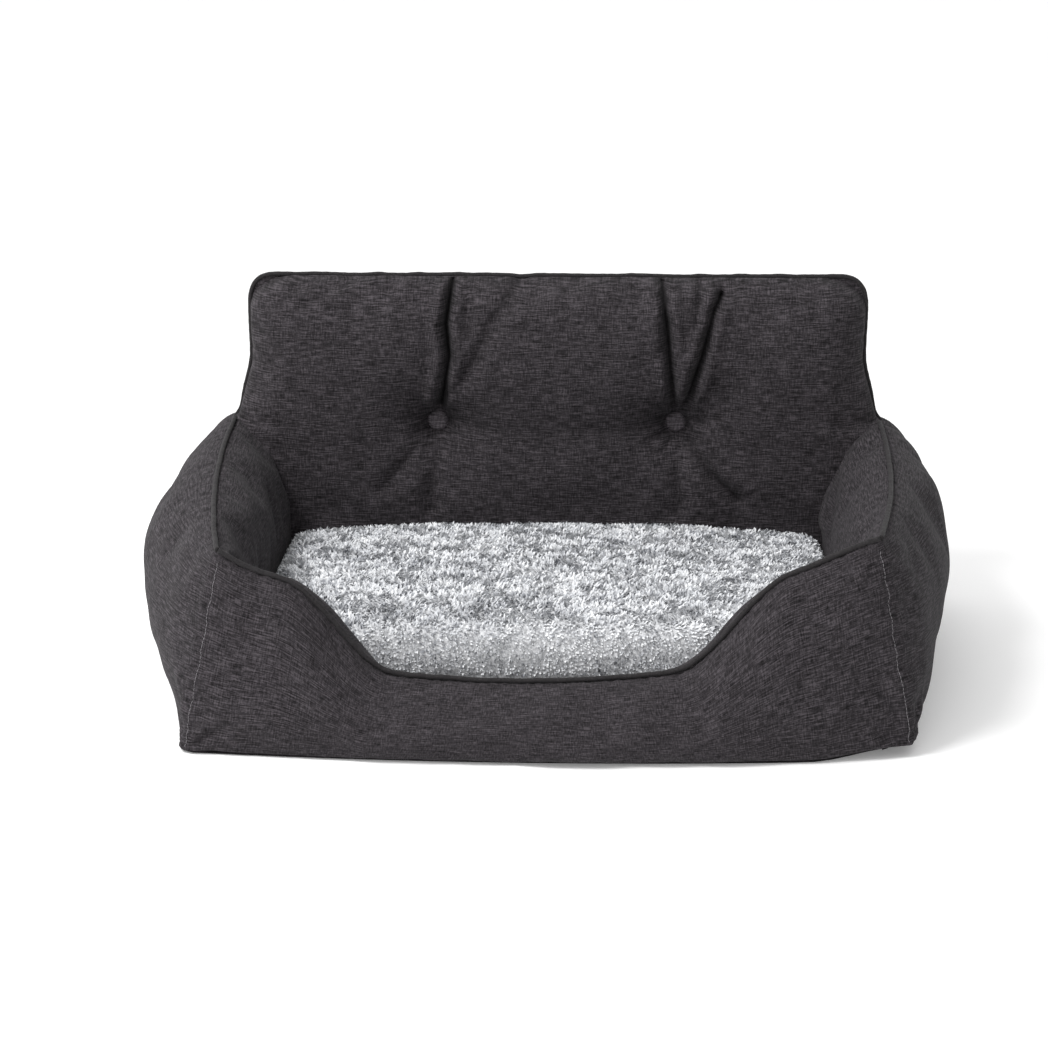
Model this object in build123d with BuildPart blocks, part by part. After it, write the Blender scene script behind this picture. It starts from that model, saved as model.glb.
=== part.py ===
from build123d import *
import os
from math import cos, pi, radians, sin, sqrt

# Sofa-style dog bed: a stuffed surround with a low front, two swelling arms and a tall tufted
# back, and a lift-out fleece cushion. Millimetres. +X is the bed's right, +Y its back, +Z up.
# The origin is on the floor, under the middle of the bed.

# Overall sizes
overall_width = 916.0  # across the widest swell of the two arms
overall_depth = 610.0  # from the bowed front to the flat rear face
overall_height = 407.0  # to the top of the back pillow

# Cover fabric and the piping in its seams
fabric = 2.0  # woven cover with its quilted backing
piping_diameter = 5.5
piping_seat = 0.9  # the sewn flange between a crest and its piping
piping_run = 8.5  # straight stretch between two bends of the piping
piping_bend = 18.0  # bend radius of the piping

# Front wall, with the low entry in its middle
front_thickness = 107.0  # bow included
front_bow = 28.0  # middle stands this far forward of the corners
front_swell = 28.0  # outer panel beyond a straight one, at the middle
front_crest_back = 55.0  # crest behind the bowed front
dip_height = 72.0
dip_shoulder_rise = 103.0
dip_shoulder_start = 200.0  # shoulders start this far inboard of a peak
dip_shoulder_run = 130.0
peak_rise = 38.0
peak_run = 140.0  # stretch beside a peak over which the rim still climbs
front_toe_bow = 21.0  # the foot's share of the bow
front_swell_height = 0.45  # where the swell peaks, as a share of the crest's height
front_shoulder_low = 36.0  # straight part of the well side, under the entry
front_shoulder_share = 0.55  # how much of the crest's climb that part follows
front_reach = 22.0  # sections run this far past the corners, before the mitre
front_section_count = 36

# Arms
arm_thickness = 140.0  # widest swell to the well
arm_swell = 65.0  # outer panel beyond a straight one, at its fullest
corner_swell = 3.0  # the same at the front corner
foot_inset = 78.0  # front corner's foot inside the widest swell
foot_flare = 18.0  # foot moves outward towards the back
peak_inset = 118.0  # front peak inside the widest swell
peak_setback = 25.0  # front peak behind its foot
crest_flare = 46.0  # crest moves outward towards the back
crest_rise = 23.0  # crest climbs towards the back
arm_shoulder = 108.0  # straight part of the well side
swell_height = 0.6  # where the swell peaks, as a share of the crest's height
arm_section_count = 7
piping_lap = 0.03  # piping runs past the arm's ends, as a share of the arm, before it is cut

# Back pillow
back_thickness = 88.0
back_inset = 90.0  # upper side inside the widest swell
back_corner = 28.0
back_waist = 68.0  # side narrows over this height above the arms
back_seam_setback = 45.0  # piped seam behind the front face
back_front_roll = 24.0  # front face's margin rolls in by this
back_rear_roll = 20.0
roll_angles = [radians(angle) for angle in (90, 62, 34, 0)]

# Button tufts in the back
button_spacing = 286.0
button_height = 231.0
button_diameter = 25.0
button_dome = 5.5
button_back = 1.5
button_back_diameter = 19.0
tuft_depth = 36.0
tuft_radius = 58.0
tuft_floor = 14.0
cord_diameter = 2.0
cord_clearance = 0.3
anchor_diameter = 20.0
anchor_thickness = 3.0

# Stiffening board inside the back
board_thickness = 5.0
board_margin = 42.0  # inside the upper side and the top
board_lift = 12.0  # above the base panel
board_setback = 16.0  # in front of the rear panel's inner face

# Lift-out cushion
cushion_cover = 2.5
cushion_gap = 3.0  # cushion to the well's walls
cushion_rest_gap = 0.3  # cushion to the base panel
cushion_edge_height = 100.0
cushion_crown = 18.0  # middle above the corners
cushion_corner = 30.0
cushion_edge_round = 16.0
cushion_seam = 54.0  # joint of the two panels above the cushion's underside
cushion_chamfer = 36.0  # lower rear edge, where the zip is

# Zips
zip_chain_width = 6.0
zip_chain_height = 2.4
zip_tape_width = 8.0
zip_tape_height = 0.8
zip_clearance = 0.4
zip_slot_lap = 0.5  # fabric under each side of the chain
zip_stop_length = 3.0
slider_length = 12.0
slider_wall = 1.4
slider_lug = 1.2
slider_lug_gap = 2.8
pin_diameter = 1.4
pull_eye_radius = 1.9
pull_thickness = 1.6
pull_length = 14.0
pull_width = 5.0
pull_neck = 4.4  # narrow part between the lugs
pull_eye_width = 2.0
pin_clearance = 0.3
eye_clearance = 0.4  # eye above the slider's top
slider_round = 2.0
slider_lug_cap = 0.8
zip_chain_round = 0.8
zip_stop_height = 2.0
rear_zip_length = 480.0
rear_zip_height = 34.0
placket_depth = 10.0  # recess that keeps the rear zip inside the rear face
placket_height = 30.0
placket_end = 12.0
cushion_zip_length = 440.0

# Planes and places that follow from the sizes
half_width = overall_width / 2
front_y = -overall_depth / 2
rear_y = overall_depth / 2
well_x = half_width - arm_thickness
well_front_y = front_y + front_thickness
back_y = rear_y - back_thickness
foot_x = half_width - foot_inset
peak_x = half_width - peak_inset
foot_y = front_y + front_bow
peak_y = foot_y + peak_setback
crest_y = front_y + front_crest_back
seam_y = back_y + back_seam_setback
peak_z = dip_height + dip_shoulder_rise + peak_rise
tip_z = peak_z + crest_rise
piping_radius = piping_diameter / 2
piping_lift = piping_radius + piping_seat
button_x = button_spacing / 2
board_rear_y = rear_y - fabric - board_setback
tuft_floor_y = back_y + tuft_depth
cord_hole = cord_diameter + 2 * cord_clearance
button_back_y = tuft_floor_y - button_back
tuft_points = [(-button_x, button_height), (button_x, button_height)]
cushion_half_width = well_x - cushion_gap
cushion_front_y = well_front_y + cushion_gap
cushion_rear_y = back_y - cushion_gap
cushion_floor = fabric + cushion_rest_gap
cushion_half_depth = (cushion_rear_y - cushion_front_y) / 2
crown_radius = (
    cushion_half_width**2 + cushion_half_depth**2 + cushion_crown**2
) / (2 * cushion_crown)
crown_centre_z = cushion_floor + cushion_edge_height + cushion_crown - crown_radius
slider_top = zip_chain_height + zip_clearance + slider_wall
pull_axis_height = slider_top + eye_clearance + pull_eye_radius

front_stations = [
    (foot_x + front_reach) * (2 * i / front_section_count - 1)
    for i in range(front_section_count + 1)
]
arm_stations = [-0.1] + [i / (arm_section_count - 1) for i in range(arm_section_count)]

peak = Vector(peak_x, peak_y, peak_z)
foot = Vector(foot_x, foot_y, 0)
well_corner = Vector(well_x, well_front_y, 0)
right_mitre = Plane(origin=peak, z_dir=(foot - peak).cross(well_corner - peak))
left_mitre = Plane(
    origin=(-peak.X, peak.Y, peak.Z),
    z_dir=(-right_mitre.z_dir.X, right_mitre.z_dir.Y, right_mitre.z_dir.Z),
)
floor_plane = Plane.XY.offset(fabric)


rear_zip_plane = Plane(
    origin=(0, rear_y - placket_depth, rear_zip_height), x_dir=(1, 0, 0), z_dir=(0, 1, 0)
)
cushion_zip_plane = Plane(
    origin=(0, cushion_rear_y - cushion_chamfer / 2, cushion_floor + cushion_chamfer / 2),
    x_dir=(1, 0, 0), z_dir=(0, 1, -1),
)


def slider_start(length):
    """Where a zip's slider stands when the zip is closed, along the zip."""
    return -(length / 2 - zip_stop_length - slider_length / 2 - zip_clearance)


def pull_place(plane, length, x_dir):
    """Plane across the slider's pin, with its x along the resting pull."""
    origin = plane.from_local_coords((slider_start(length), 0, pull_axis_height))
    return Plane(origin=origin, x_dir=x_dir, z_dir=plane.y_dir)


rear_pull_plane = pull_place(rear_zip_plane, rear_zip_length, rear_zip_plane.x_dir)
cushion_pull_plane = pull_place(
    cushion_zip_plane, cushion_zip_length, cushion_zip_plane.z_dir
)


def smooth_step(t):
    t = min(max(t, 0.0), 1.0)
    return t * t * (3 - 2 * t)


def rim_height(x):
    """Height of the front wall's crest: low entry, steep shoulders, climb to the peaks."""
    inboard = peak_x - abs(x)
    shoulder = smooth_step((dip_shoulder_start - inboard) / dip_shoulder_run)
    climb = max(0.0, (peak_run - inboard) / peak_run)
    return dip_height + dip_shoulder_rise * shoulder + peak_rise * climb**2


def bolster_section(plane, out, toe, swell, crest, shoulder, inset):
    """Leaf-shaped section of a bolster: outer curve, crest, well side and flat foot.

    out is +1 where the outer side is at larger local x and -1 where it is at smaller x.
    """
    toe = Vector(toe - out * inset, inset)
    swell = Vector(swell[0] - out * inset, swell[1])
    crest = Vector(crest[0], crest[1] - 1.4 * inset)
    shoulder = Vector(shoulder[0] + out * inset, shoulder[1])
    with BuildSketch(plane) as section:
        with BuildLine():
            ThreePointArc(toe, swell, crest)
            TangentArc(shoulder, crest, tangent=(0, 1))
            Polyline(shoulder, (shoulder.X, inset), toe)
        make_face()
    return section.sketch


def front_section(x, inset):
    """Section of the front wall at one place across the bed."""
    middle = max(0.0, 1 - (x / peak_x) ** 2)
    toe_y = foot_y - front_toe_bow * middle
    crest_z = rim_height(x)
    swell_y = toe_y + front_swell_height * (crest_y - toe_y) - front_swell * middle - 1
    shoulder_z = front_shoulder_low + front_shoulder_share * (crest_z - dip_height)
    return bolster_section(
        Plane.YZ.offset(x), -1, toe_y, (swell_y, front_swell_height * crest_z),
        (crest_y, crest_z), (well_front_y, shoulder_z), inset,
    )


def front_body(inset):
    """Front wall from beyond one corner to beyond the other, not yet mitred."""
    with BuildPart() as body:
        loft(sections=[front_section(x, inset) for x in front_stations])
    return body.part


def arm_crest(along):
    """Crest of the right arm, 0 at the front peak and 1 at the back."""
    x = peak_x + crest_flare * along * (2 - along)
    y = peak_y + (back_y - peak_y) * along
    return Vector(x, y, peak_z + crest_rise * along)


def arm_toe(along):
    """Foot of the right arm's outer panel at the same place along the arm."""
    return foot_x + foot_flare * along * (2 - along)


def arm_side(along):
    """Outer point of the right arm's swell, as x and z, at the same place."""
    crest = arm_crest(along)
    straight = arm_toe(along) + swell_height * (crest.X - arm_toe(along))
    swell = corner_swell + arm_swell * max(0.0, sin(0.75 * pi * along))
    return straight + swell, swell_height * crest.Z


def arm_section(along, inset):
    """Section of the right arm at one place along it."""
    crest = arm_crest(along)
    return bolster_section(
        Plane.XZ.offset(-crest.Y), 1, arm_toe(along), arm_side(along),
        (crest.X, crest.Z), (well_x, arm_shoulder), inset,
    )


def arm_body(inset):
    """Right arm from beyond the front corner to the back's front face, not yet mitred."""
    with BuildPart() as body:
        loft(sections=[arm_section(along, inset) for along in arm_stations])
    return body.part


def back_section(y, upper, lower, inset):
    """Front view of the back: swelling sides at arm height, straight sides above."""
    toe = Vector(arm_toe(1) - lower, inset)
    side_x, side_z = arm_side(1)
    side = Vector(side_x - lower, side_z)
    tip = Vector(arm_crest(1).X - max(upper, lower), tip_z)
    waist = Vector(half_width - back_inset - upper, tip_z + back_waist)
    top = overall_height - upper
    shoulder = Vector(waist.X, top - back_corner)
    with BuildSketch(Plane.XZ.offset(-y)) as section:
        with BuildLine():
            ThreePointArc(toe, side, tip)
            Polyline(tip, waist, shoulder)
            TangentArc(shoulder, (waist.X - back_corner, top), tangent=(0, 1))
            Line((waist.X - back_corner, top), (0, top))
            Line((0, inset), toe)
            mirror(about=Plane.YZ)
        make_face()
    return section.sketch


def back_body(inset):
    """Back pillow between its front and rear faces, without its tufts and placket."""
    front_depth = seam_y - back_y - inset
    rear_depth = rear_y - seam_y - inset
    sections = []
    for angle in roll_angles:
        y = seam_y - front_depth * sin(angle)
        sections.append(back_section(y, back_front_roll * (1 - cos(angle)) + inset, inset, inset))
    for angle in reversed(roll_angles[:-1]):
        y = seam_y + rear_depth * sin(angle)
        roll = back_rear_roll * (1 - cos(angle)) + inset
        sections.append(back_section(y, roll, roll, inset))
    with BuildPart() as body:
        loft(sections=sections)
    return body.part


def tuft_hollow(side, inset):
    """Funnel that a tuft's button pulls into the front face, and the slack around it."""
    tuft = Plane(origin=(side * button_x, back_y, button_height), z_dir=(0, 0, 1))
    rim = Vector(tuft_radius, inset)
    floor_edge = Vector(tuft_floor + inset, tuft_depth + inset)
    with BuildPart() as hollow:
        with BuildSketch(tuft):
            with BuildLine():
                TangentArc(rim, floor_edge, tangent=(-1, 0))
                Polyline(floor_edge, (0, floor_edge.Y), (0, -fabric), (rim.X, -fabric), rim)
            make_face()
        revolve(axis=Axis(tuft.origin, (0, 1, 0)))
    return hollow.part


def placket(inset):
    """Recess that keeps the rear zip inside the rear face."""
    with BuildPart() as recess:
        with BuildSketch(Plane.XZ.offset(-(rear_y + fabric))):
            with Locations((0, rear_zip_height)):
                Rectangle(
                    rear_zip_length + 2 * (placket_end + inset), placket_height + 2 * inset
                )
        extrude(amount=placket_depth + fabric + inset)
    return recess.part


def back_shape(inset):
    """Back pillow with its tufts and placket."""
    with BuildPart() as shape:
        add(back_body(inset))
        add(tuft_hollow(-1, inset), mode=Mode.SUBTRACT)
        add(tuft_hollow(1, inset), mode=Mode.SUBTRACT)
        add(placket(inset), mode=Mode.SUBTRACT)
    return shape.part


def arm_zone():
    """Space at the right front corner that belongs to the arm, beyond its corner seam."""
    with BuildPart() as zone:
        with BuildSketch(Plane.XY.offset(-fabric)):
            with Locations((well_x, front_y - front_thickness)):
                Rectangle(arm_thickness, 2 * front_thickness, align=Align.MIN)
        extrude(amount=2 * peak_z)
        split(bisect_by=right_mitre, keep=Keep.TOP)
    return zone.part


def cut_front(body, keep):
    """Front wall cut to its two corner seams, above or below the base panel's top."""
    with BuildPart() as piece:
        add(body)
        add(arm_zone(), mode=Mode.SUBTRACT)
        add(mirrored(arm_zone()), mode=Mode.SUBTRACT)
        split(bisect_by=floor_plane, keep=keep)
    return piece.part


def cut_arm(body, keep):
    """Right arm cut to its corner seam, above or below the base panel's top."""
    with BuildPart() as piece:
        add(body)
        split(bisect_by=right_mitre, keep=Keep.TOP)
        split(bisect_by=floor_plane, keep=keep)
    return piece.part


def cut_back(body, keep):
    """Back above or below the base panel's top."""
    with BuildPart() as piece:
        add(body)
        split(bisect_by=floor_plane, keep=keep)
    return piece.part


def mirrored(piece):
    """The same piece on the other side of the bed."""
    with BuildPart() as twin:
        mirror(piece, about=Plane.YZ)
    return twin.part


def piping(route):
    """Round piping along a route of tangent lines and arcs."""
    with BuildPart() as cord:
        with BuildSketch(Plane(origin=route @ 0, z_dir=route % 0)):
            Circle(piping_radius)
        sweep(path=route)
    return cord.part


def cushion_body(inset):
    """Cushion with a crowned top and a chamfer along its lower rear edge."""
    half_x = cushion_half_width - inset
    front = cushion_front_y + inset
    rear = cushion_rear_y - inset
    floor = cushion_floor + inset
    cut = cushion_chamfer - (2 - sqrt(2)) * inset
    roof = cushion_floor + cushion_edge_height + 2 * cushion_crown
    with BuildPart() as body:
        with BuildSketch(Plane.YZ.offset(-half_x)):
            with BuildLine():
                Polyline(
                    (front, floor), (rear - cut, floor), (rear, floor + cut), (rear, roof),
                    (front, roof), close=True,
                )
            make_face()
        extrude(amount=2 * half_x)
        fillet(body.edges().filter_by(Axis.Z), cushion_corner - inset)
        with Locations((0, (front + rear) / 2, crown_centre_z)):
            Sphere(crown_radius - inset, mode=Mode.INTERSECT)
        fillet(body.faces().sort_by(Axis.Z)[-1].edges(), cushion_edge_round - inset)
    return body.part


def zip_slot(plane, length):
    """Slot under a zip's chain, through one layer of fabric."""
    depth = max(fabric, cushion_cover)
    with BuildPart() as slot:
        with BuildSketch(plane):
            Rectangle(length, zip_chain_width - 2 * zip_slot_lap)
        extrude(amount=depth, both=True)
    return slot.part


def zip_tapes(plane, length):
    """The two tapes on either side of the chain."""
    middle = (zip_chain_width + zip_tape_width) / 2
    with BuildPart() as tapes:
        with BuildSketch(plane):
            with Locations((0, -middle), (0, middle)):
                Rectangle(length, zip_tape_width)
        extrude(amount=zip_tape_height)
    return tapes.part


def zip_chain(plane, length):
    """The closed coil chain between the two end stops."""
    with BuildPart() as chain:
        with BuildSketch(plane):
            Rectangle(length - 2 * zip_stop_length, zip_chain_width)
        extrude(amount=zip_chain_height)
        rails = chain.edges().filter_by(Axis.X).sort_by(Axis(plane.origin, plane.z_dir))
        fillet(rails[-2:], zip_chain_round)
    return chain.part


def zip_stops(plane, length):
    """The stop at each end of the chain."""
    with BuildPart() as stops:
        with BuildSketch(plane):
            with Locations(*[(end * (length - zip_stop_length) / 2, 0) for end in (-1, 1)]):
                Rectangle(zip_stop_length, zip_chain_width)
        extrude(amount=zip_stop_height)
    return stops.part


def zip_slider(plane, length):
    """Slider at the closed end: a saddle over the chain with two lugs and their pin."""
    leg = zip_tape_height + zip_clearance
    channel_width = zip_chain_width + 2 * zip_clearance
    centre = (slider_start(length), 0)
    lug_height = pull_axis_height - slider_top + pin_diameter / 2 + slider_lug_cap
    pin_axis = Plane(
        origin=plane.from_local_coords((centre[0], 0, pull_axis_height)),
        x_dir=plane.x_dir, z_dir=plane.y_dir,
    )
    with BuildPart() as slider:
        with BuildSketch(plane.offset(leg)):
            with Locations(centre):
                RectangleRounded(slider_length, channel_width + 2 * slider_wall, slider_round)
        extrude(amount=slider_top - leg)
        with BuildSketch(plane.offset(leg)):
            with Locations(centre):
                Rectangle(slider_length + slider_wall, channel_width)
        extrude(amount=zip_chain_height + zip_clearance - leg, mode=Mode.SUBTRACT)
        with BuildSketch(plane.offset(slider_top)):
            with Locations(centre):
                with Locations(*[(0, side * (slider_lug_gap + slider_lug) / 2) for side in (-1, 1)]):
                    Rectangle(2 * pull_eye_radius, slider_lug)
        extrude(amount=lug_height)
        with BuildSketch(pin_axis):
            Circle(pin_diameter / 2)
        extrude(amount=slider_lug_gap / 2 + slider_lug, both=True)
    return slider.part


def zip_pull(pull_plane):
    """Pull with its eye on the slider's pin; the plane's x runs along the pull."""
    with BuildPart() as pull:
        with BuildSketch(pull_plane):
            Circle(pull_eye_radius)
            with Locations((pull_neck / 2, 0)):
                Rectangle(pull_neck, pull_thickness)
        extrude(amount=pull_eye_width / 2, both=True)
        with BuildSketch(pull_plane):
            with Locations(((pull_neck + pull_length) / 2, 0)):
                Rectangle(pull_length - pull_neck, pull_thickness)
        extrude(amount=pull_width / 2, both=True)
        with BuildSketch(pull_plane):
            Circle(pin_diameter / 2 + pin_clearance)
        extrude(amount=pull_eye_width, both=True, mode=Mode.SUBTRACT)
    return pull.part


def tuft_passages():
    """Holes for the tuft cords from behind the board to the front face."""
    with BuildPart() as passages:
        with BuildSketch(Plane.XZ.offset(-board_rear_y)):
            with Locations(*tuft_points):
                Circle(cord_hole / 2)
        extrude(amount=board_rear_y - back_y)
    return passages.part


def rim_point(x):
    """Middle of the front rim's piping, lifted square off the crest."""
    slope = (rim_height(x + 1) - rim_height(x - 1)) / 2
    across = Vector(-slope, 1).normalized() * piping_lift
    return (x + across.X, crest_y, rim_height(x) + across.Y)


shoulder_x = peak_x - dip_shoulder_start
shoulder_reach = dip_shoulder_start + piping_diameter
rim_count = round(shoulder_reach / piping_run)
right_rim_points = [
    rim_point(shoulder_x + shoulder_reach * i / rim_count) for i in range(rim_count + 1)
]
rim_points = [(-x, y, z) for x, y, z in reversed(right_rim_points)] + right_rim_points
arm_points = [
    arm_crest(along) + Vector(0, 0, piping_lift) for along in (-piping_lap, 0.5, 1 + piping_lap)
]
back_tip = Vector(arm_crest(1).X + piping_lift, seam_y, tip_z)
back_waist_point = Vector(half_width - back_inset + piping_lift, seam_y, tip_z + back_waist)
back_top_point = Vector(back_waist_point.X, seam_y, overall_height + piping_lift)
back_side_points = [back_tip, back_waist_point, back_top_point]
back_points = back_side_points + [
    Vector(-point.X, point.Y, point.Z) for point in reversed(back_side_points)
]

front_outer_body = cut_front(front_body(0), Keep.TOP)
arm_outer_body = cut_arm(arm_body(0), Keep.TOP)
back_outer_body = cut_back(back_shape(0), Keep.TOP)
back_core = cut_back(back_shape(fabric), Keep.TOP)

# Fillings of the front wall and of the right arm
with BuildPart() as front_fill:
    add(cut_front(front_body(fabric), Keep.TOP))

with BuildPart() as right_fill:
    add(cut_arm(arm_body(fabric), Keep.TOP))

# Front wall's cover, in two panels that meet at the rim
with BuildPart() as front_outer_panel:
    add(front_outer_body)
    add(front_fill.part, mode=Mode.SUBTRACT)
    split(bisect_by=Plane.XZ.offset(-crest_y), keep=Keep.TOP)

with BuildPart() as front_inner_panel:
    add(front_outer_body)
    add(front_fill.part, mode=Mode.SUBTRACT)
    split(bisect_by=Plane.XZ.offset(-crest_y), keep=Keep.BOTTOM)

# Space on the well side of the right arm's crest
with BuildPart() as arm_well_side:
    crest_line = [arm_crest(along) for along in arm_stations]
    with BuildSketch(Plane.XY):
        with BuildLine():
            Polyline(
                *[(point.X, point.Y) for point in crest_line],
                (well_x - fabric, crest_line[-1].Y), (well_x - fabric, crest_line[0].Y),
                close=True,
            )
        make_face()
    extrude(amount=tip_z + fabric)

# Right arm's cover, in two panels that meet at the crest
with BuildPart() as right_outer_panel:
    add(arm_outer_body)
    add(right_fill.part, mode=Mode.SUBTRACT)
    add(arm_well_side.part, mode=Mode.SUBTRACT)

with BuildPart() as right_inner_panel:
    add(arm_outer_body)
    add(right_fill.part, mode=Mode.SUBTRACT)
    add(arm_well_side.part, mode=Mode.INTERSECT)

# Stiffening board that keeps the back upright and anchors its buttons
with BuildPart() as back_board:
    board_foot = fabric + board_lift
    board_top = overall_height - board_margin
    with BuildSketch(Plane.XZ.offset(-board_rear_y)):
        with Locations((0, (board_foot + board_top) / 2)):
            RectangleRounded(
                2 * (half_width - back_inset - board_margin), board_top - board_foot, back_corner
            )
    extrude(amount=board_thickness)
    add(tuft_passages(), mode=Mode.SUBTRACT)

# Tuft buttons: covered dome, backing disc, cord, and the anchor behind the board
with BuildPart() as tuft_button_right:
    with BuildSketch(Plane.XY.offset(button_height)):
        with BuildLine():
            EllipticalCenterArc(
                (button_x, button_back_y), button_diameter / 2, button_dome,
                start_angle=270, arc_size=90,
            )
            Line((button_x + button_diameter / 2, button_back_y), (button_x, button_back_y))
            Line((button_x, button_back_y), (button_x, button_back_y - button_dome))
        make_face()
    revolve(axis=Axis((button_x, 0, button_height), (0, 1, 0)))

with BuildPart() as tuft_button_backs:
    with BuildSketch(Plane.XZ.offset(-tuft_floor_y)):
        with Locations(*tuft_points):
            Circle(button_back_diameter / 2)
    extrude(amount=button_back)

with BuildPart() as tuft_cords:
    with BuildSketch(Plane.XZ.offset(-board_rear_y)):
        with Locations(*tuft_points):
            Circle(cord_diameter / 2)
    extrude(amount=board_rear_y - tuft_floor_y)

with BuildPart() as tuft_anchors:
    with BuildSketch(Plane.XZ.offset(-(board_rear_y + anchor_thickness))):
        with Locations(*tuft_points):
            Circle(anchor_diameter / 2)
    extrude(amount=anchor_thickness)

# Filling of the back, around the board, the cords and their anchors
with BuildPart() as back_fill:
    add(back_core)
    add(back_board.part, mode=Mode.SUBTRACT)
    add(tuft_anchors.part, mode=Mode.SUBTRACT)
    add(tuft_passages(), mode=Mode.SUBTRACT)

# Back's cover: the tufted front panel and the plain rear one with its zip slot
with BuildPart() as back_cover:
    add(back_outer_body)
    add(back_core, mode=Mode.SUBTRACT)

with BuildPart() as back_front_panel:
    add(back_cover.part)
    split(bisect_by=Plane.XZ.offset(-seam_y), keep=Keep.TOP)
    add(tuft_passages(), mode=Mode.SUBTRACT)

with BuildPart() as back_rear_panel:
    add(back_cover.part)
    split(bisect_by=Plane.XZ.offset(-seam_y), keep=Keep.BOTTOM)
    add(zip_slot(rear_zip_plane, rear_zip_length), mode=Mode.SUBTRACT)

# Piping on the crests
with BuildLine() as rim_route:
    FilletPolyline(*rim_points, radius=piping_bend)

with BuildLine() as arm_route:
    ThreePointArc(*arm_points)

with BuildLine() as back_route:
    FilletPolyline(*back_points, radius=back_corner + piping_lift)

with BuildPart() as front_rim_piping:
    add(piping(rim_route.line))
    split(bisect_by=right_mitre, keep=Keep.BOTTOM)
    split(bisect_by=left_mitre, keep=Keep.BOTTOM)

with BuildPart() as right_arm_piping:
    add(piping(arm_route.line))
    split(bisect_by=right_mitre, keep=Keep.TOP)
    split(bisect_by=Plane.XZ.offset(-(back_y - piping_seat)), keep=Keep.TOP)

with BuildPart() as back_piping:
    add(piping(back_route.line))

# Base panel: the flat underside of the surround and the floor of the well
arm_foot = cut_arm(arm_body(0), Keep.BOTTOM)
with BuildPart() as base_panel:
    add(cut_front(front_body(0), Keep.BOTTOM))
    add(arm_foot)
    mirror(arm_foot, about=Plane.YZ)
    add(cut_back(back_body(0), Keep.BOTTOM))
    with BuildSketch(Plane.XY):
        with Locations((0, (well_front_y + back_y) / 2)):
            Rectangle(2 * well_x, back_y - well_front_y)
    extrude(amount=fabric)

# Cushion: filling, fleece top panel and woven bottom panel that meet at the side seam
with BuildPart() as cushion_fill:
    add(cushion_body(cushion_cover))

with BuildPart() as cushion_top_panel:
    add(cushion_body(0))
    add(cushion_fill.part, mode=Mode.SUBTRACT)
    split(bisect_by=Plane.XY.offset(cushion_floor + cushion_seam), keep=Keep.TOP)

with BuildPart() as cushion_bottom_panel:
    add(cushion_body(0))
    add(cushion_fill.part, mode=Mode.SUBTRACT)
    split(bisect_by=Plane.XY.offset(cushion_floor + cushion_seam), keep=Keep.BOTTOM)
    add(zip_slot(cushion_zip_plane, cushion_zip_length), mode=Mode.SUBTRACT)

pieces = {
    "base_panel": base_panel.part,
    "front_outer_panel": front_outer_panel.part,
    "front_inner_panel": front_inner_panel.part,
    "front_fill": front_fill.part,
    "right_outer_panel": right_outer_panel.part,
    "right_inner_panel": right_inner_panel.part,
    "right_fill": right_fill.part,
    "left_outer_panel": mirrored(right_outer_panel.part),
    "left_inner_panel": mirrored(right_inner_panel.part),
    "left_fill": mirrored(right_fill.part),
    "back_front_panel": back_front_panel.part,
    "back_rear_panel": back_rear_panel.part,
    "back_fill": back_fill.part,
    "back_board": back_board.part,
    "front_rim_piping": front_rim_piping.part,
    "right_arm_piping": right_arm_piping.part,
    "left_arm_piping": mirrored(right_arm_piping.part),
    "back_piping": back_piping.part,
    "tuft_button_right": tuft_button_right.part,
    "tuft_button_left": mirrored(tuft_button_right.part),
    "tuft_button_backs": tuft_button_backs.part,
    "tuft_cords": tuft_cords.part,
    "tuft_anchors": tuft_anchors.part,
    "cushion_top_panel": cushion_top_panel.part,
    "cushion_bottom_panel": cushion_bottom_panel.part,
    "cushion_fill": cushion_fill.part,
}

# Each zip: two tapes, chain, end stops, slider and pull
for zip_name, plane, length, pull_plane in (
    ("rear_zip", rear_zip_plane, rear_zip_length, rear_pull_plane),
    ("cushion_zip", cushion_zip_plane, cushion_zip_length, cushion_pull_plane),
):
    pieces[zip_name + "_tapes"] = zip_tapes(plane, length)
    pieces[zip_name + "_chain"] = zip_chain(plane, length)
    pieces[zip_name + "_stops"] = zip_stops(plane, length)
    pieces[zip_name + "_slider"] = zip_slider(plane, length)
    pieces[zip_name + "_pull"] = zip_pull(pull_plane)

os.makedirs("parts", exist_ok=True)
for name, piece in pieces.items():
    piece.label = name
    export_step(piece, "parts/" + name + ".step")
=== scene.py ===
import math

import bmesh
import bpy
import numpy as np
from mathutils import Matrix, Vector
from mathutils.bvhtree import BVHTree


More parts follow.
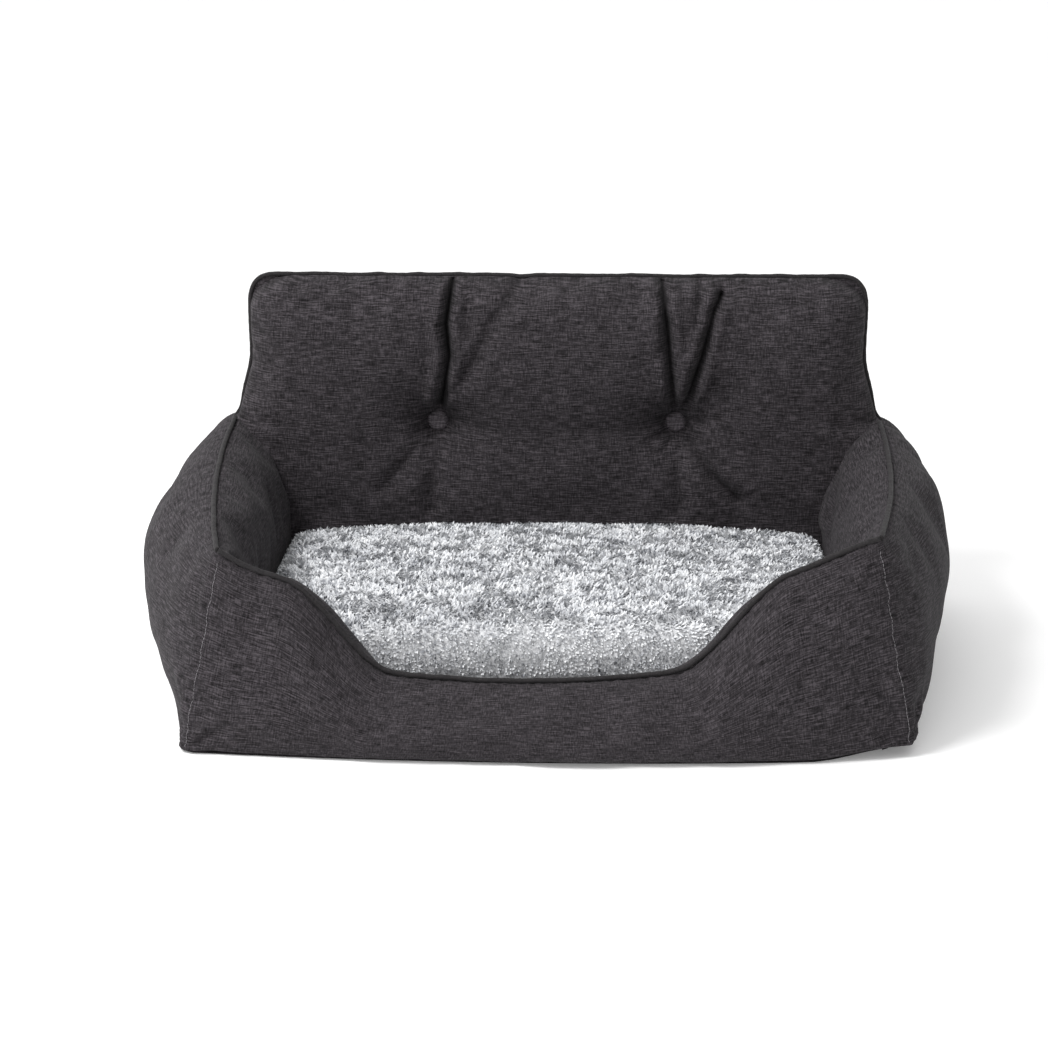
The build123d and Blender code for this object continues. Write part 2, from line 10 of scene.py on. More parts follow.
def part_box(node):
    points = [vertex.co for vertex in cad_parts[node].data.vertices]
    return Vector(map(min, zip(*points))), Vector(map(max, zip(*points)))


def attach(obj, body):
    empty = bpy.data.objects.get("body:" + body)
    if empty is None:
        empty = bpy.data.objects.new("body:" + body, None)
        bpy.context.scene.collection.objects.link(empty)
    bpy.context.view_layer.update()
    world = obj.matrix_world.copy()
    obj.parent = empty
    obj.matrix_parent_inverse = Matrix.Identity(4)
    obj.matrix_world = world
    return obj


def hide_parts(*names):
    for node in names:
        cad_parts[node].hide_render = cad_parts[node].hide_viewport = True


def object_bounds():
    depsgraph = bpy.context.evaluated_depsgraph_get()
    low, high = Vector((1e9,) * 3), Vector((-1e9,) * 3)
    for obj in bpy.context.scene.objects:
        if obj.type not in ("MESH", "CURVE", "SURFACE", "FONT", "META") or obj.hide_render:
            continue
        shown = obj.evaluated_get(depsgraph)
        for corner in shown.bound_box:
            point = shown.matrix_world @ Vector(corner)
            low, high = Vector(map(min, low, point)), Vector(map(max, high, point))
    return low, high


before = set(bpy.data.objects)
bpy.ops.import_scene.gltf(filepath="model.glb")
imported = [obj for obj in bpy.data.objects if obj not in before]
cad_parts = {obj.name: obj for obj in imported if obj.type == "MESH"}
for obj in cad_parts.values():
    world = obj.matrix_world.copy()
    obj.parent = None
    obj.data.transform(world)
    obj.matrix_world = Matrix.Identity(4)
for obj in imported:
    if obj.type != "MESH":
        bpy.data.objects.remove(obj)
cad_low, cad_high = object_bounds()

# Sofa-style dog bed. Metres, +X the bed's right, +Y its back, +Z up.

# Places that come from the frame
well_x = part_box("right_inner_panel")[0].x
well_front_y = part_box("front_inner_panel")[1].y
crest_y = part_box("front_inner_panel")[0].y
front_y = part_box("front_outer_panel")[0].y
back_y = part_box("back_front_panel")[0].y
seam_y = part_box("back_front_panel")[1].y
rear_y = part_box("back_rear_panel")[1].y
back_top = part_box("back_front_panel")[1].z
floor_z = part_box("base_panel")[1].z
tip_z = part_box("right_inner_panel")[1].z
button_x = (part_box("tuft_button_right")[0].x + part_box("tuft_button_right")[1].x) / 2
button_z = (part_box("tuft_button_right")[0].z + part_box("tuft_button_right")[1].z) / 2
button_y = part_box("tuft_button_right")[1].y
cushion_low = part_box("cushion_bottom_panel")[0]
cushion_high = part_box("cushion_top_panel")[1]
cushion_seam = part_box("cushion_top_panel")[0].z

# Surround
foot_x = 0.380
foot_y = front_y + 0.028
toe_bow = 0.021
front_swell = 0.026
peak_x = 0.340
peak_y = foot_y + 0.025
dip_height = 0.072
dip_shoulder_rise = 0.103
dip_shoulder_start = 0.193
dip_shoulder_run = 0.116
dip_shift = 0.014  # the filled rim leans to one side
peak_rise = 0.038
peak_run = 0.140
dip_half = 0.200
rim_sag = 0.017  # the entry hangs in its middle
sag_shift = 0.030
peak_skew = {1: 0.017, -1: -0.003}  # one filled corner stands higher than the other
toe_skew = {1: 0.010, -1: 0.0}  # and its foot is tucked up
peak_z = dip_height + dip_shoulder_rise + peak_rise
arm_swell = 0.054
arm_shoulder = 0.108
foot_flare = 0.018
crest_flare = 0.046
arm_lap = 0.022  # arm runs this far into the back
arm_skew = {1: -0.007, -1: 0.012}  # one arm is filled fuller than the other
seam_puff = 0.012  # fullness that the filling gives a panel right beside its seam
seam_puff_reach = 0.030
front_shoulder = 0.036
front_shoulder_share = 0.55

# Back
back_half = 0.368
back_corner = 0.028
back_waist = 0.068
back_roll = 0.050  # width of the front face's rolled margin
rear_roll = 0.030
tuft_radius = 0.062
tuft_depth = 0.036
tuft_floor = 0.0150
button_sink = 0.0020  # a button's edge sits this far into the cloth
button_seat_radius = 0.0130
placket_z = (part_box("rear_zip_tapes")[0].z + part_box("rear_zip_tapes")[1].z) / 2
placket_half = 0.252
placket_half_height = 0.015
placket_depth = 0.010

# Cushion
cushion_corner = 0.030
cushion_chamfer = 0.036
cushion_edge = 0.100
pile_length = 0.0066
pile_count = 46000

# Trim
piping_radius = 0.00275
piping_step = 0.0022  # spacing of the rings along a piping
piping_wobble = 0.035  # thick and thin of a piping, as a share of its radius
back_piping_step = 0.003  # spacing of the points that are laid on the back's seam
back_piping_sunk = 0.0016  # depth of the back's piping in the cloth
back_piping_tip_sunk = 0.0034  # and what its two ends add, beside the arms
back_piping_tip = 0.045
stitch_pitch = 0.0042
stitch_radius = 0.00028
grid_step = 0.0065
fold_low = 0.135  # the back's mesh is finer above this height, for its folds

rng = np.random.default_rng(7)


# ---------------------------------------------------------------- number helpers

def smooth_step(t):
    t = np.clip(t, 0.0, 1.0)
    return t * t * (3 - 2 * t)


def mix(a, b, t):
    return a + (b - a) * t


def unit(vectors):
    return vectors / np.linalg.norm(vectors, axis=1, keepdims=True)


def lattice_noise(points, size, seed):
    """Smooth noise from -1 to 1 with features about size metres across."""
    grid = np.random.default_rng(seed).uniform(-1, 1, (24, 24, 24))
    p = np.asarray(points) / size + seed * 0.37
    base = np.floor(p).astype(int)
    part = smooth_step(p - base)
    total = 0.0
    for dx in (0, 1):
        for dy in (0, 1):
            for dz in (0, 1):
                weight = (
                    np.where(dx, part[..., 0], 1 - part[..., 0])
                    * np.where(dy, part[..., 1], 1 - part[..., 1])
                    * np.where(dz, part[..., 2], 1 - part[..., 2])
                )
                corner = grid[(base[..., 0] + dx) % 24, (base[..., 1] + dy) % 24,
                              (base[..., 2] + dz) % 24]
                total = total + weight * corner
    return total


def segment_distance(x, z, points):
    """Distance from each (x, z) to a bent line, and how far along the line its foot lies."""
    best = np.full(np.shape(x), 1e9)
    along = np.zeros(np.shape(x))
    count = len(points) - 1
    for i, (a, b) in enumerate(zip(points[:-1], points[1:])):
        a, b = np.array(a), np.array(b)
        edge = b - a
        t = np.clip(((x - a[0]) * edge[0] + (z - a[1]) * edge[1]) / (edge @ edge), 0, 1)
        d = np.hypot(x - a[0] - t * edge[0], z - a[1] - t * edge[1])
        nearer = d < best
        best = np.where(nearer, d, best)
        along = np.where(nearer, (i + t) / count, along)
    return best, along


# ---------------------------------------------------------------- mesh helpers

def grid_faces(rows, columns, offset=0):
    """Quads between the points of a grid, row after row."""
    faces = []
    for r in range(rows - 1):
        for c in range(columns - 1):
            a = offset + r * columns + c
            b = a + columns
            faces.append((a, b, b + 1, a + 1))
    return faces


def ring_faces(rings, around, reverse=False):
    """Quads between closed rings of points, ring after ring."""
    faces = []
    for r in range(rings - 1):
        for c in range(around):
            a, b = r * around + c, r * around + (c + 1) % around
            face = (a, b, b + around, a + around)
            faces.append((face[0], *face[:0:-1]) if reverse else face)
    return faces


def ring_caps(rings, around, reverse=False):
    """The two faces that close a stack of rings."""
    first = tuple(range(around))
    last = tuple((rings - 1) * around + c for c in range(around))
    return [first, last[::-1]] if reverse else [first[::-1], last]


def make_mesh(name, points, faces, weave=None, smooth=True):
    mesh = bpy.data.meshes.new(name)
    mesh.from_pydata([tuple(p) for p in points], [], faces)
    mesh.validate()
    if weave is not None:
        layer = mesh.attributes.new("weave", "FLOAT_VECTOR", "POINT")
        layer.data.foreach_set("vector", np.asarray(weave, dtype=float).ravel())
    mesh.polygons.foreach_set("use_smooth", [smooth] * len(mesh.polygons))
    mesh.update()
    piece = bpy.data.objects.new(name, mesh)
    bpy.context.scene.collection.objects.link(piece)
    return piece


def coordinates(piece):
    co = np.empty(len(piece.data.vertices) * 3)
    piece.data.vertices.foreach_get("co", co)
    return co.reshape(-1, 3)


def normals(piece):
    no = np.empty(len(piece.data.vertices) * 3)
    piece.data.vertex_normals.foreach_get("vector", no)
    return no.reshape(-1, 3)


def attribute(piece, name):
    data = np.empty(len(piece.data.vertices) * 3)
    piece.data.attributes[name].data.foreach_get("vector", data)
    return data.reshape(-1, 3)


def set_coordinates(piece, co):
    piece.data.vertices.foreach_set("co", np.asarray(co).ravel())
    piece.data.update()


def outward(piece, drop_loose=False):
    """Turns every face outward, and can first drop the points that no face uses."""
    shell = bmesh.new()
    shell.from_mesh(piece.data)
    if drop_loose:
        loose = [v for v in shell.verts if not v.link_faces]
        bmesh.ops.delete(shell, geom=loose, context="VERTS")
    bmesh.ops.recalc_face_normals(shell, faces=shell.faces)
    shell.to_mesh(piece.data)
    shell.free()
    piece.data.update()


def apply_modifiers(piece):
    shape = piece.evaluated_get(bpy.context.evaluated_depsgraph_get())
    mesh = bpy.data.meshes.new_from_object(shape, preserve_all_data_layers=True,
                                           depsgraph=bpy.context.evaluated_depsgraph_get())
    old = piece.data
    piece.modifiers.clear()
    piece.data = mesh
    bpy.data.meshes.remove(old)


def subdivide(piece, levels=1):
    step = piece.modifiers.new("subdivision", "SUBSURF")
    step.levels = levels
    step.render_levels = levels
    apply_modifiers(piece)


def inflate(piece, pins, cap, pressure=3.0, slack=0.03, stiffness=2.0, frames=16):
    """Cloth under pressure, held at its pins; cap is how far each point may move."""
    rest = coordinates(piece).copy()
    group = piece.vertex_groups.new(name="held")
    for index in np.nonzero(pins > 0)[0]:
        group.add([int(index)], float(pins[index]), "REPLACE")
    cloth = piece.modifiers.new("cloth", "CLOTH")
    cloth.settings.quality = 5
    cloth.settings.mass = 0.25
    cloth.settings.tension_stiffness = 18
    cloth.settings.compression_stiffness = 18
    cloth.settings.shear_stiffness = 6
    cloth.settings.bending_stiffness = stiffness
    cloth.settings.air_damping = 3
    cloth.settings.use_pressure = True
    cloth.settings.uniform_pressure_force = pressure
    cloth.settings.shrink_min = -slack
    cloth.settings.vertex_group_mass = "held"
    cloth.settings.effector_weights.gravity = 0
    cloth.collision_settings.use_collision = False
    cloth.point_cache.frame_start = 1
    cloth.point_cache.frame_end = frames
    for number in range(1, frames + 1):
        bpy.context.scene.frame_set(number)
    apply_modifiers(piece)
    bpy.context.scene.frame_set(1)
    piece.vertex_groups.clear()
    moved = coordinates(piece)
    step = moved - rest
    size = np.linalg.norm(step, axis=1, keepdims=True)
    limit = np.asarray(cap).reshape(-1, 1)
    soft = limit * np.tanh(size / np.maximum(limit, 1e-9))
    set_coordinates(piece, rest + step * np.where(size > 1e-9, soft / np.maximum(size, 1e-9), 0))


def tube(name, path, radius, sides=10, wobble=0.0):
    """Closed round tube along a list of points, with a slight thick and thin of its own."""
    path = np.asarray(path)
    count = len(path)
    tangents = unit(np.gradient(path, axis=0))
    side = unit(np.cross(tangents, np.array([0.13, 0.21, 0.97])))
    over = np.cross(side, tangents)
    length = np.concatenate([[0], np.cumsum(np.linalg.norm(np.diff(path, axis=0), axis=1))])
    swell = 1 + wobble * np.sin(length / 0.0021 + 1.7 * np.sin(length / 0.013))
    points, weave = [], []
    for k in range(sides):
        angle = 2 * math.pi * k / sides
        ring = side * math.cos(angle) + over * math.sin(angle)
        points.append(path + ring * (radius * swell)[:, None])
        weave.append(np.stack([length, np.full(count, angle * radius), length * 0], axis=1))
    points = np.stack(points, axis=1).reshape(-1, 3)
    weave = np.stack(weave, axis=1).reshape(-1, 3)
    faces = ring_faces(count, sides) + ring_caps(count, sides)
    return make_mesh(name, points, faces, weave)


# ---------------------------------------------------------------- surround

def rim_height(x):
    sag = rim_sag * np.minimum(((x + sag_shift) / dip_half) ** 2, 1.0)
    x = x + dip_shift * (1 - np.abs(x / peak_x) ** 6)
    inboard = peak_x - np.abs(x)
    shoulder = smooth_step((dip_shoulder_start - inboard) / dip_shoulder_run)
    climb = np.maximum(0.0, (peak_run - inboard) / peak_run)
    return dip_height + sag * (1 - shoulder) + dip_shoulder_rise * shoulder + (
        peak_rise * climb**2)


def fullness(a, low, high):
    """How a stuffed panel bulges between its two seams, 0 at both and 1 at its fullest."""
    top = low / (low + high)
    return (a / top) ** low * ((1 - a) / (1 - top)) ** high


outer_rows = 38
inner_rows = 34
bottom_rows = 6


def station(foot, crest, inner, bulge, shoulder_z):
    """One section of the surround, from the foot over the crest to the well and back under."""
    foot, crest, inner, bulge = (np.array(v) for v in (foot, crest, inner, bulge))
    a = np.linspace(0, 1, outer_rows)[:, None]
    outer = mix(foot, crest, a) + bulge * fullness(a, 0.72, 0.55)
    b = np.linspace(0, 1, inner_rows)[1:, None]
    roll = np.clip(b / 0.55, 0, 1)
    down = np.clip((b - 0.55) / 0.45, 0, 1)
    flat = mix(crest[:2], inner[:2], np.sin(roll * math.pi / 2))
    z = shoulder_z + (crest[2] - shoulder_z) * np.cos(roll * math.pi / 2)
    z = mix(z, floor_z, down)
    inside = np.concatenate([flat, z], axis=1)
    c = np.linspace(0, 1, bottom_rows)[1:-1, None]
    under = mix(np.array([inner[0], inner[1], floor_z]), foot, c)
    return np.concatenate([outer, inside, under])


def arm_station(side, t):
    ease = t * (2 - t)
    end_y = back_y + arm_lap
    tuck = toe_skew[side] * (1 - smooth_step(t / 0.35))
    foot = (side * (foot_x + foot_flare * ease), mix(foot_y, end_y, t) + tuck, floor_z + tuck)
    crest = (side * (peak_x + crest_flare * ease), mix(peak_y, end_y, t),
             mix(peak_z + peak_skew[side] * (1 - t), tip_z, t))
    inner = (side * well_x, mix(well_front_y, end_y, t), floor_z)
    near = t * (end_y - peak_y)
    swell = arm_swell * math.sin(0.75 * math.pi * t) + arm_skew[side] * math.sin(
        math.pi * t) + seam_puff * (1 - math.exp(-near / seam_puff_reach))
    return station(foot, crest, inner, (side * swell, 0, 0), arm_shoulder)


def front_station(s):
    middle = 1 - s * s
    side = 1 if s > 0 else -1
    crest_z = rim_height(peak_x * s) + peak_skew[side] * smooth_step((abs(s) - 0.45) / 0.55)
    tuck = toe_skew[side] * smooth_step((abs(s) - 0.7) / 0.3)
    foot = (foot_x * s, foot_y - toe_bow * middle + tuck, floor_z + tuck)
    crest = (peak_x * s, mix(crest_y, peak_y, s * s), crest_z)
    inner = (well_x * s, well_front_y, floor_z)
    near = (1 - abs(s)) * foot_x
    swell = front_swell * middle + 0.5 * seam_puff * (1 - math.exp(-near / seam_puff_reach))
    shoulder = front_shoulder + front_shoulder_share * np.maximum(crest_z - dip_height, 0)
    shoulder = mix(shoulder, arm_shoulder, smooth_step((abs(s) - 0.8) / 0.2))
    return station(foot, crest, inner, (0, -swell, 0), shoulder)


def build_surround():
    arm_count = round((back_y - foot_y) / grid_step)
    front_count = round(2 * foot_x / grid_step)
    sections, kinds = [], []
    for i in range(arm_count, 0, -1):
        sections.append(arm_station(-1, i / arm_count))
        kinds.append((0, i / arm_count))
    left_corner = len(sections)
    for i in range(front_count + 1):
        sections.append(front_station(2 * i / front_count - 1))
        kinds.append((1, 2 * i / front_count - 1))
    right_corner = len(sections) - 1
    for i in range(1, arm_count + 1):
        sections.append(arm_station(1, i / arm_count))
        kinds.append((2, i / arm_count))
    body = np.array(sections)
    count, around = body.shape[:2]
    step = np.linalg.norm(np.diff(body[:, outer_rows // 2], axis=0), axis=1)
    run = np.concatenate([[0], np.cumsum(step)])
    drop = np.linalg.norm(np.diff(body, axis=1), axis=2).mean(axis=0)
    fall = np.concatenate([[0], np.cumsum(drop)])
    weave = np.zeros(body.shape)
    weave[..., 0] = run[:, None]
    weave[..., 1] = fall[None, :]
    wander = lattice_noise(body, 0.11, 3) * 0.004 + lattice_noise(body, 0.045, 5) * 0.0022
    row = np.arange(around)
    crest_row = outer_rows - 1
    shoulder_row = outer_rows - 1 + int(0.55 * (inner_rows - 1))
    free = np.ones(around)
    free[row >= shoulder_row] = 0
    free *= np.clip(np.abs(row - crest_row) / 5, 0, 1)
    free *= np.clip(row / 4, 0, 1)
    ends = np.minimum(
        np.abs(np.arange(count) - left_corner), np.abs(np.arange(count) - right_corner))
    lengthwise = np.clip(ends / 4, 0, 1)
    gradient_s = np.gradient(body, axis=0)
    gradient_r = np.gradient(body, axis=1)
    facing = np.cross(gradient_r, gradient_s)
    facing /= np.maximum(np.linalg.norm(facing, axis=2, keepdims=True), 1e-9)
    body = body + facing * (wander * free[None, :] * lengthwise[:, None])[..., None]
    points = body.reshape(-1, 3)
    faces = ring_faces(count, around, True) + ring_caps(count, around, True)
    piece = make_mesh("surround_cover", points, faces, weave.reshape(-1, 3))
    outward(piece)
    pins = np.zeros((count, around))
    pins[:, crest_row] = 1
    pins[:, 0] = 1
    pins[:, shoulder_row:] = 1
    pins[[0, 1, 2, 3, -4, -3, -2, -1], :] = 1
    pins[[left_corner, right_corner], :] = 1
    cap = np.full((count, around), 0.008)
    cap[:, crest_row + 1:shoulder_row] = 0.005
    cap[pins > 0] = 1e-6
    inflate(piece, pins.ravel(), cap.ravel(), pressure=2.5, slack=0.006, stiffness=10.0)
    shape = coordinates(piece).reshape(count, around, 3)
    crest = shape[:, crest_row].copy()
    foot = shape[:, 0].copy()
    corners = (shape[left_corner, :outer_rows].copy(), shape[right_corner, :outer_rows].copy())
    return piece, crest, foot, corners, left_corner, right_corner


surround, crest_line, foot_line, corner_lines, left_corner, right_corner = build_surround()


def pucker_surround():
    """Gathers beside the seams and creases at the front peaks, on the subdivided cover."""
    subdivide(surround)
    co, no = coordinates(surround), normals(surround)
    weave = attribute(surround, "weave")
    crest_samples = crest_line[::2]
    nearest = np.full(len(co), 1e9)
    for start in range(0, len(crest_samples), 40):
        block = crest_samples[start:start + 40]
        d = np.linalg.norm(co[:, None, :] - block[None], axis=2).min(axis=1)
        nearest = np.minimum(nearest, d)
    beside = np.exp(-(nearest / 0.020) ** 2)
    seam_line = np.exp(-(nearest / 0.004) ** 2)
    gathers = np.sin(weave[:, 0] / 0.0031 + 2.2 * lattice_noise(co, 0.035, 9))
    strength = np.clip(0.5 + lattice_noise(co, 0.05, 11), 0, 1)
    co = co + no * (beside * strength * 0.0005 * gathers - 0.0012 * seam_line)[:, None]
    for corner in corner_lines:
        d = np.full(len(co), 1e9)
        for p in corner[::2]:
            d = np.minimum(d, np.linalg.norm(co - p, axis=1))
        fold = np.sin(co[:, 2] / 0.0052 + 2.0 * lattice_noise(co, 0.03, 13))
        reach = np.exp(-(d / 0.034) ** 2)
        co = co + no * (reach * 0.0011 * fold - 0.0028 * np.exp(-(d / 0.0045) ** 2))[:, None]
        peak = corner[-1]
        away = np.linalg.norm(co - peak, axis=1)
        spread = np.arctan2(co[:, 2] - peak[2], np.hypot(co[:, 0] - peak[0], co[:, 1] - peak[1]))
        rays = np.sin(spread * 13 + 2.2 * lattice_noise(co, 0.05, 17))
        fan = np.exp(-((away - 0.045) / 0.035) ** 2) * strength
        co = co + no * (0.0016 * rays * fan)[:, None]
        foot = corner[0]
        away = np.linalg.norm(co - foot, axis=1)
        spread = np.arctan2(co[:, 2] - foot[2], np.hypot(co[:, 0] - foot[0], co[:, 1] - foot[1]))
        rays = np.sin(spread * 11 + 1.2 * lattice_noise(co, 0.05, 19))
        co = co + no * (0.0022 * rays * np.exp(-((away - 0.035) / 0.03) ** 2))[:, None]
    slack = lattice_noise(co * np.array([1, 1, 2.2]), 0.06, 23) * 0.0016
    open_side = np.clip(nearest / 0.05, 0, 1) * (co[:, 2] > floor_z + 0.004)
    co = co + no * (slack * open_side)[:, None]
    co[:, 2] = np.maximum(co[:, 2], floor_z)
    set_coordinates(surround, co)


pucker_surround()
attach(surround, "surround")
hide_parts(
    "front_outer_panel", "front_inner_panel", "front_fill", "right_outer_panel",
    "right_inner_panel", "right_fill", "left_outer_panel", "left_inner_panel", "left_fill",
)


# ---------------------------------------------------------------- back

def back_half_width(z):
    """Half width of the back at a height: arm-height swell, waist, straight, round corner."""
    arm_side = arm_station(1, (back_y - peak_y) / (back_y + arm_lap - peak_y))[:outer_rows]
    side = np.interp(z, arm_side[:, 2], arm_side[:, 0])
    tip_x = peak_x + crest_flare
    above = np.interp(z, [tip_z, tip_z + back_waist], [tip_x, back_half])
    width = np.where(z < tip_z, side, above)
    over = np.clip(z - (back_top - back_corner), 0, back_corner)
    return width - (back_corner - np.sqrt(np.maximum(back_corner**2 - over**2, 0)))


creases = (
    # line as (x, z) points, depth, width
    (((-0.123, 0.407), (-0.131, 0.354), (-0.127, 0.315), (-0.139, 0.247)), 0.0190, 0.0052),
    (((-0.044, 0.407), (-0.074, 0.360), (-0.096, 0.315), (-0.130, 0.262)), 0.0060, 0.0080),
    (((0.124, 0.407), (0.132, 0.340), (0.141, 0.250)), 0.0160, 0.0050),
    (((0.196, 0.392), (0.185, 0.371), (0.172, 0.317), (0.151, 0.250)), 0.0165, 0.0050),
    (((0.169, 0.407), (0.166, 0.354)), 0.0075, 0.0045),
    (((0.156, 0.218), (0.185, 0.176), (0.222, 0.142)), 0.0110, 0.0062),
    (((-0.143, 0.212), (-0.147, 0.160), (-0.146, 0.125)), 0.0060, 0.0100),
    (((0.144, 0.212), (0.148, 0.160), (0.147, 0.125)), 0.0060, 0.0100),
    (((-0.120, 0.231), (-0.05, 0.227), (0.05, 0.228), (0.120, 0.231)), 0.0050, 0.0240),
    (((-0.158, 0.216), (-0.187, 0.178), (-0.215, 0.150)), 0.0050, 0.0085),
    (((-0.330, 0.405), (-0.318, 0.372)), 0.0030, 0.0050),
    (((0.060, 0.407), (0.066, 0.378)), 0.0030, 0.0045),
    (((0.286, 0.407), (0.276, 0.370)), 0.0034, 0.0050),
    (((-0.214, 0.407), (-0.205, 0.376)), 0.0026, 0.0045),
)


def crease_depth(x, z):
    """Depth of all the folds at a point of the front face, with raised lips beside each."""
    total = np.zeros(np.shape(x))
    for line, depth, width in creases:
        d, along = segment_distance(x, z, line)
        fade = smooth_step(along / 0.08 + 0.35) * smooth_step((1 - along) / 0.10 + 0.35)
        valley = np.exp(-np.power(d / width, 1.4))
        lip = np.exp(-((d - 2.3 * width) / (1.5 * width)) ** 2)
        total = total + depth * fade * (valley - 0.34 * lip)
    return total


def graded(low, high, spacing):
    """Values from low to high whose steps follow a spacing function."""
    fine = np.linspace(low, high, 4000)
    count = np.concatenate([[0], np.cumsum(np.diff(fine) / spacing(fine[1:]))])
    return np.interp(np.linspace(0, count[-1], round(count[-1]) + 1), count, fine)


def build_back():
    """One closed pillow: front face, rear face and underside."""
    z = graded(floor_z, back_top, lambda h: np.where(
        h > back_top - 0.02, 0.0030, np.where(h > fold_low, 0.0046, 0.0075)))
    right = graded(0, 1, lambda r: np.where(
        r > 0.94, 0.0032, np.where((r > 0.24) & (r < 0.56), 0.0032, 0.0080)) / back_half)
    s = np.concatenate([-right[:0:-1], right])
    columns, rows = len(s) - 1, len(z) - 1
    half = back_half_width(z)
    x = half[:, None] * s[None, :]
    zz = np.repeat(z[:, None], columns + 1, axis=1)
    from_side = half[:, None] - np.abs(x)
    from_top = back_top - zz
    edge = np.minimum(from_side, from_top)
    corner_pull = np.hypot(np.clip(back_roll - from_side, 0, None),
                           np.clip(back_roll - from_top, 0, None))
    edge = np.clip(np.where(corner_pull > 0, back_roll - corner_pull, edge), 0, None)

    def rolled(distance, reach):
        return 1 - np.sqrt(np.clip(1 - (1 - np.clip(distance / reach, 0, 1)) ** 2, 0, 1))

    front = back_y + (seam_y - back_y) * rolled(edge, back_roll)
    crown = 0.006 * np.clip(edge / 0.12, 0, 1) ** 0.8
    front = front - crown * smooth_step((zz - 0.10) / 0.08)
    for side in (-1, 1):
        away = np.hypot(x - side * button_x, zz - button_z)
        funnel = np.clip((tuft_radius - away) / (tuft_radius - tuft_floor), 0, 1)
        front = front + tuft_depth * funnel**2.0
    rear = rear_y - (rear_y - seam_y) * rolled(edge, rear_roll) * 0.98
    placket = smooth_step((placket_half - np.abs(x)) / 0.004 + 1) * smooth_step(
        (placket_half_height - np.abs(zz - placket_z)) / 0.004 + 1)
    rear = np.minimum(rear, rear_y) - (placket_depth + 0.001) * placket
    front_points = np.stack([x, front, zz], axis=2)
    rear_points = np.stack([x, rear, zz], axis=2)
    seam = np.zeros((rows + 1, columns + 1), bool)
    seam[-1, :] = True
    seam[:, 0] = True
    seam[:, -1] = True
    rear_points[seam] = front_points[seam]
    front_weave = np.stack([x, zz, zz * 0], axis=2)
    rear_weave = np.stack([x + 1.3, zz, zz * 0 + 1], axis=2)
    count = (rows + 1) * (columns + 1)
    points = np.concatenate([front_points.reshape(-1, 3), rear_points.reshape(-1, 3)])
    weave = np.concatenate([front_weave.reshape(-1, 3), rear_weave.reshape(-1, 3)])
    merged = np.arange(2 * count)
    merged[count:][seam.ravel()] = np.arange(count)[seam.ravel()]
    faces = grid_faces(rows + 1, columns + 1)
    for face in grid_faces(rows + 1, columns + 1, offset=count):
        faces.append(tuple(int(merged[i]) for i in reversed(face)))
    strips = 8
    base = len(points)
    extra_points, extra_weave = [], []
    ids = [list(range(columns + 1))]
    for k in range(1, strips):
        ring = mix(points[:columns + 1], points[count:count + columns + 1], k / strips)
        row_ids = []
        for c in range(columns + 1):
            if c in (0, columns):
                row_ids.append(c)
            else:
                row_ids.append(base + len(extra_points))
                extra_points.append(ring[c])
                extra_weave.append(weave[c])
        ids.append(row_ids)
    ids.append([int(merged[count + c]) for c in range(columns + 1)])
    for a, b in zip(ids[:-1], ids[1:]):
        for c in range(columns):
            quad = tuple(dict.fromkeys((a[c], a[c + 1], b[c + 1], b[c])))
            if len(quad) > 2:
                faces.append(quad)
    points = np.concatenate([points, np.array(extra_points)])
    weave = np.concatenate([weave, np.array(extra_weave)])
    piece = make_mesh("back_cover", points, faces, weave)
    outward(piece, drop_loose=True)
    co = coordinates(piece)
    wander = lattice_noise(co, 0.09, 31) * 0.0030 + lattice_noise(co, 0.04, 37) * 0.0016
    face_side = (co[:, 1] < seam_y - 0.004) & (co[:, 2] > floor_z + 0.01)
    co[:, 1] -= wander * face_side
    set_coordinates(piece, co)
    pins = np.zeros(len(co))
    pins[np.abs(co[:, 1] - seam_y) < 0.0015] = 1
    pins[co[:, 2] < floor_z + 0.003] = 1
    for side in (-1, 1):
        away = np.hypot(co[:, 0] - side * button_x, co[:, 2] - button_z)
        pins[(away < tuft_floor + 0.003) & (co[:, 1] < seam_y)] = 1
    rear_side = co[:, 1] > seam_y + 0.002
    pins[rear_side & (co[:, 2] < placket_z + 0.03)] = 1
    cap = np.where(rear_side, 0.0035, 0.010)
    cap[pins > 0] = 1e-6
    inflate(piece, pins, cap, pressure=2.2, slack=0.015, stiffness=4.0)
    return piece


back = build_back()


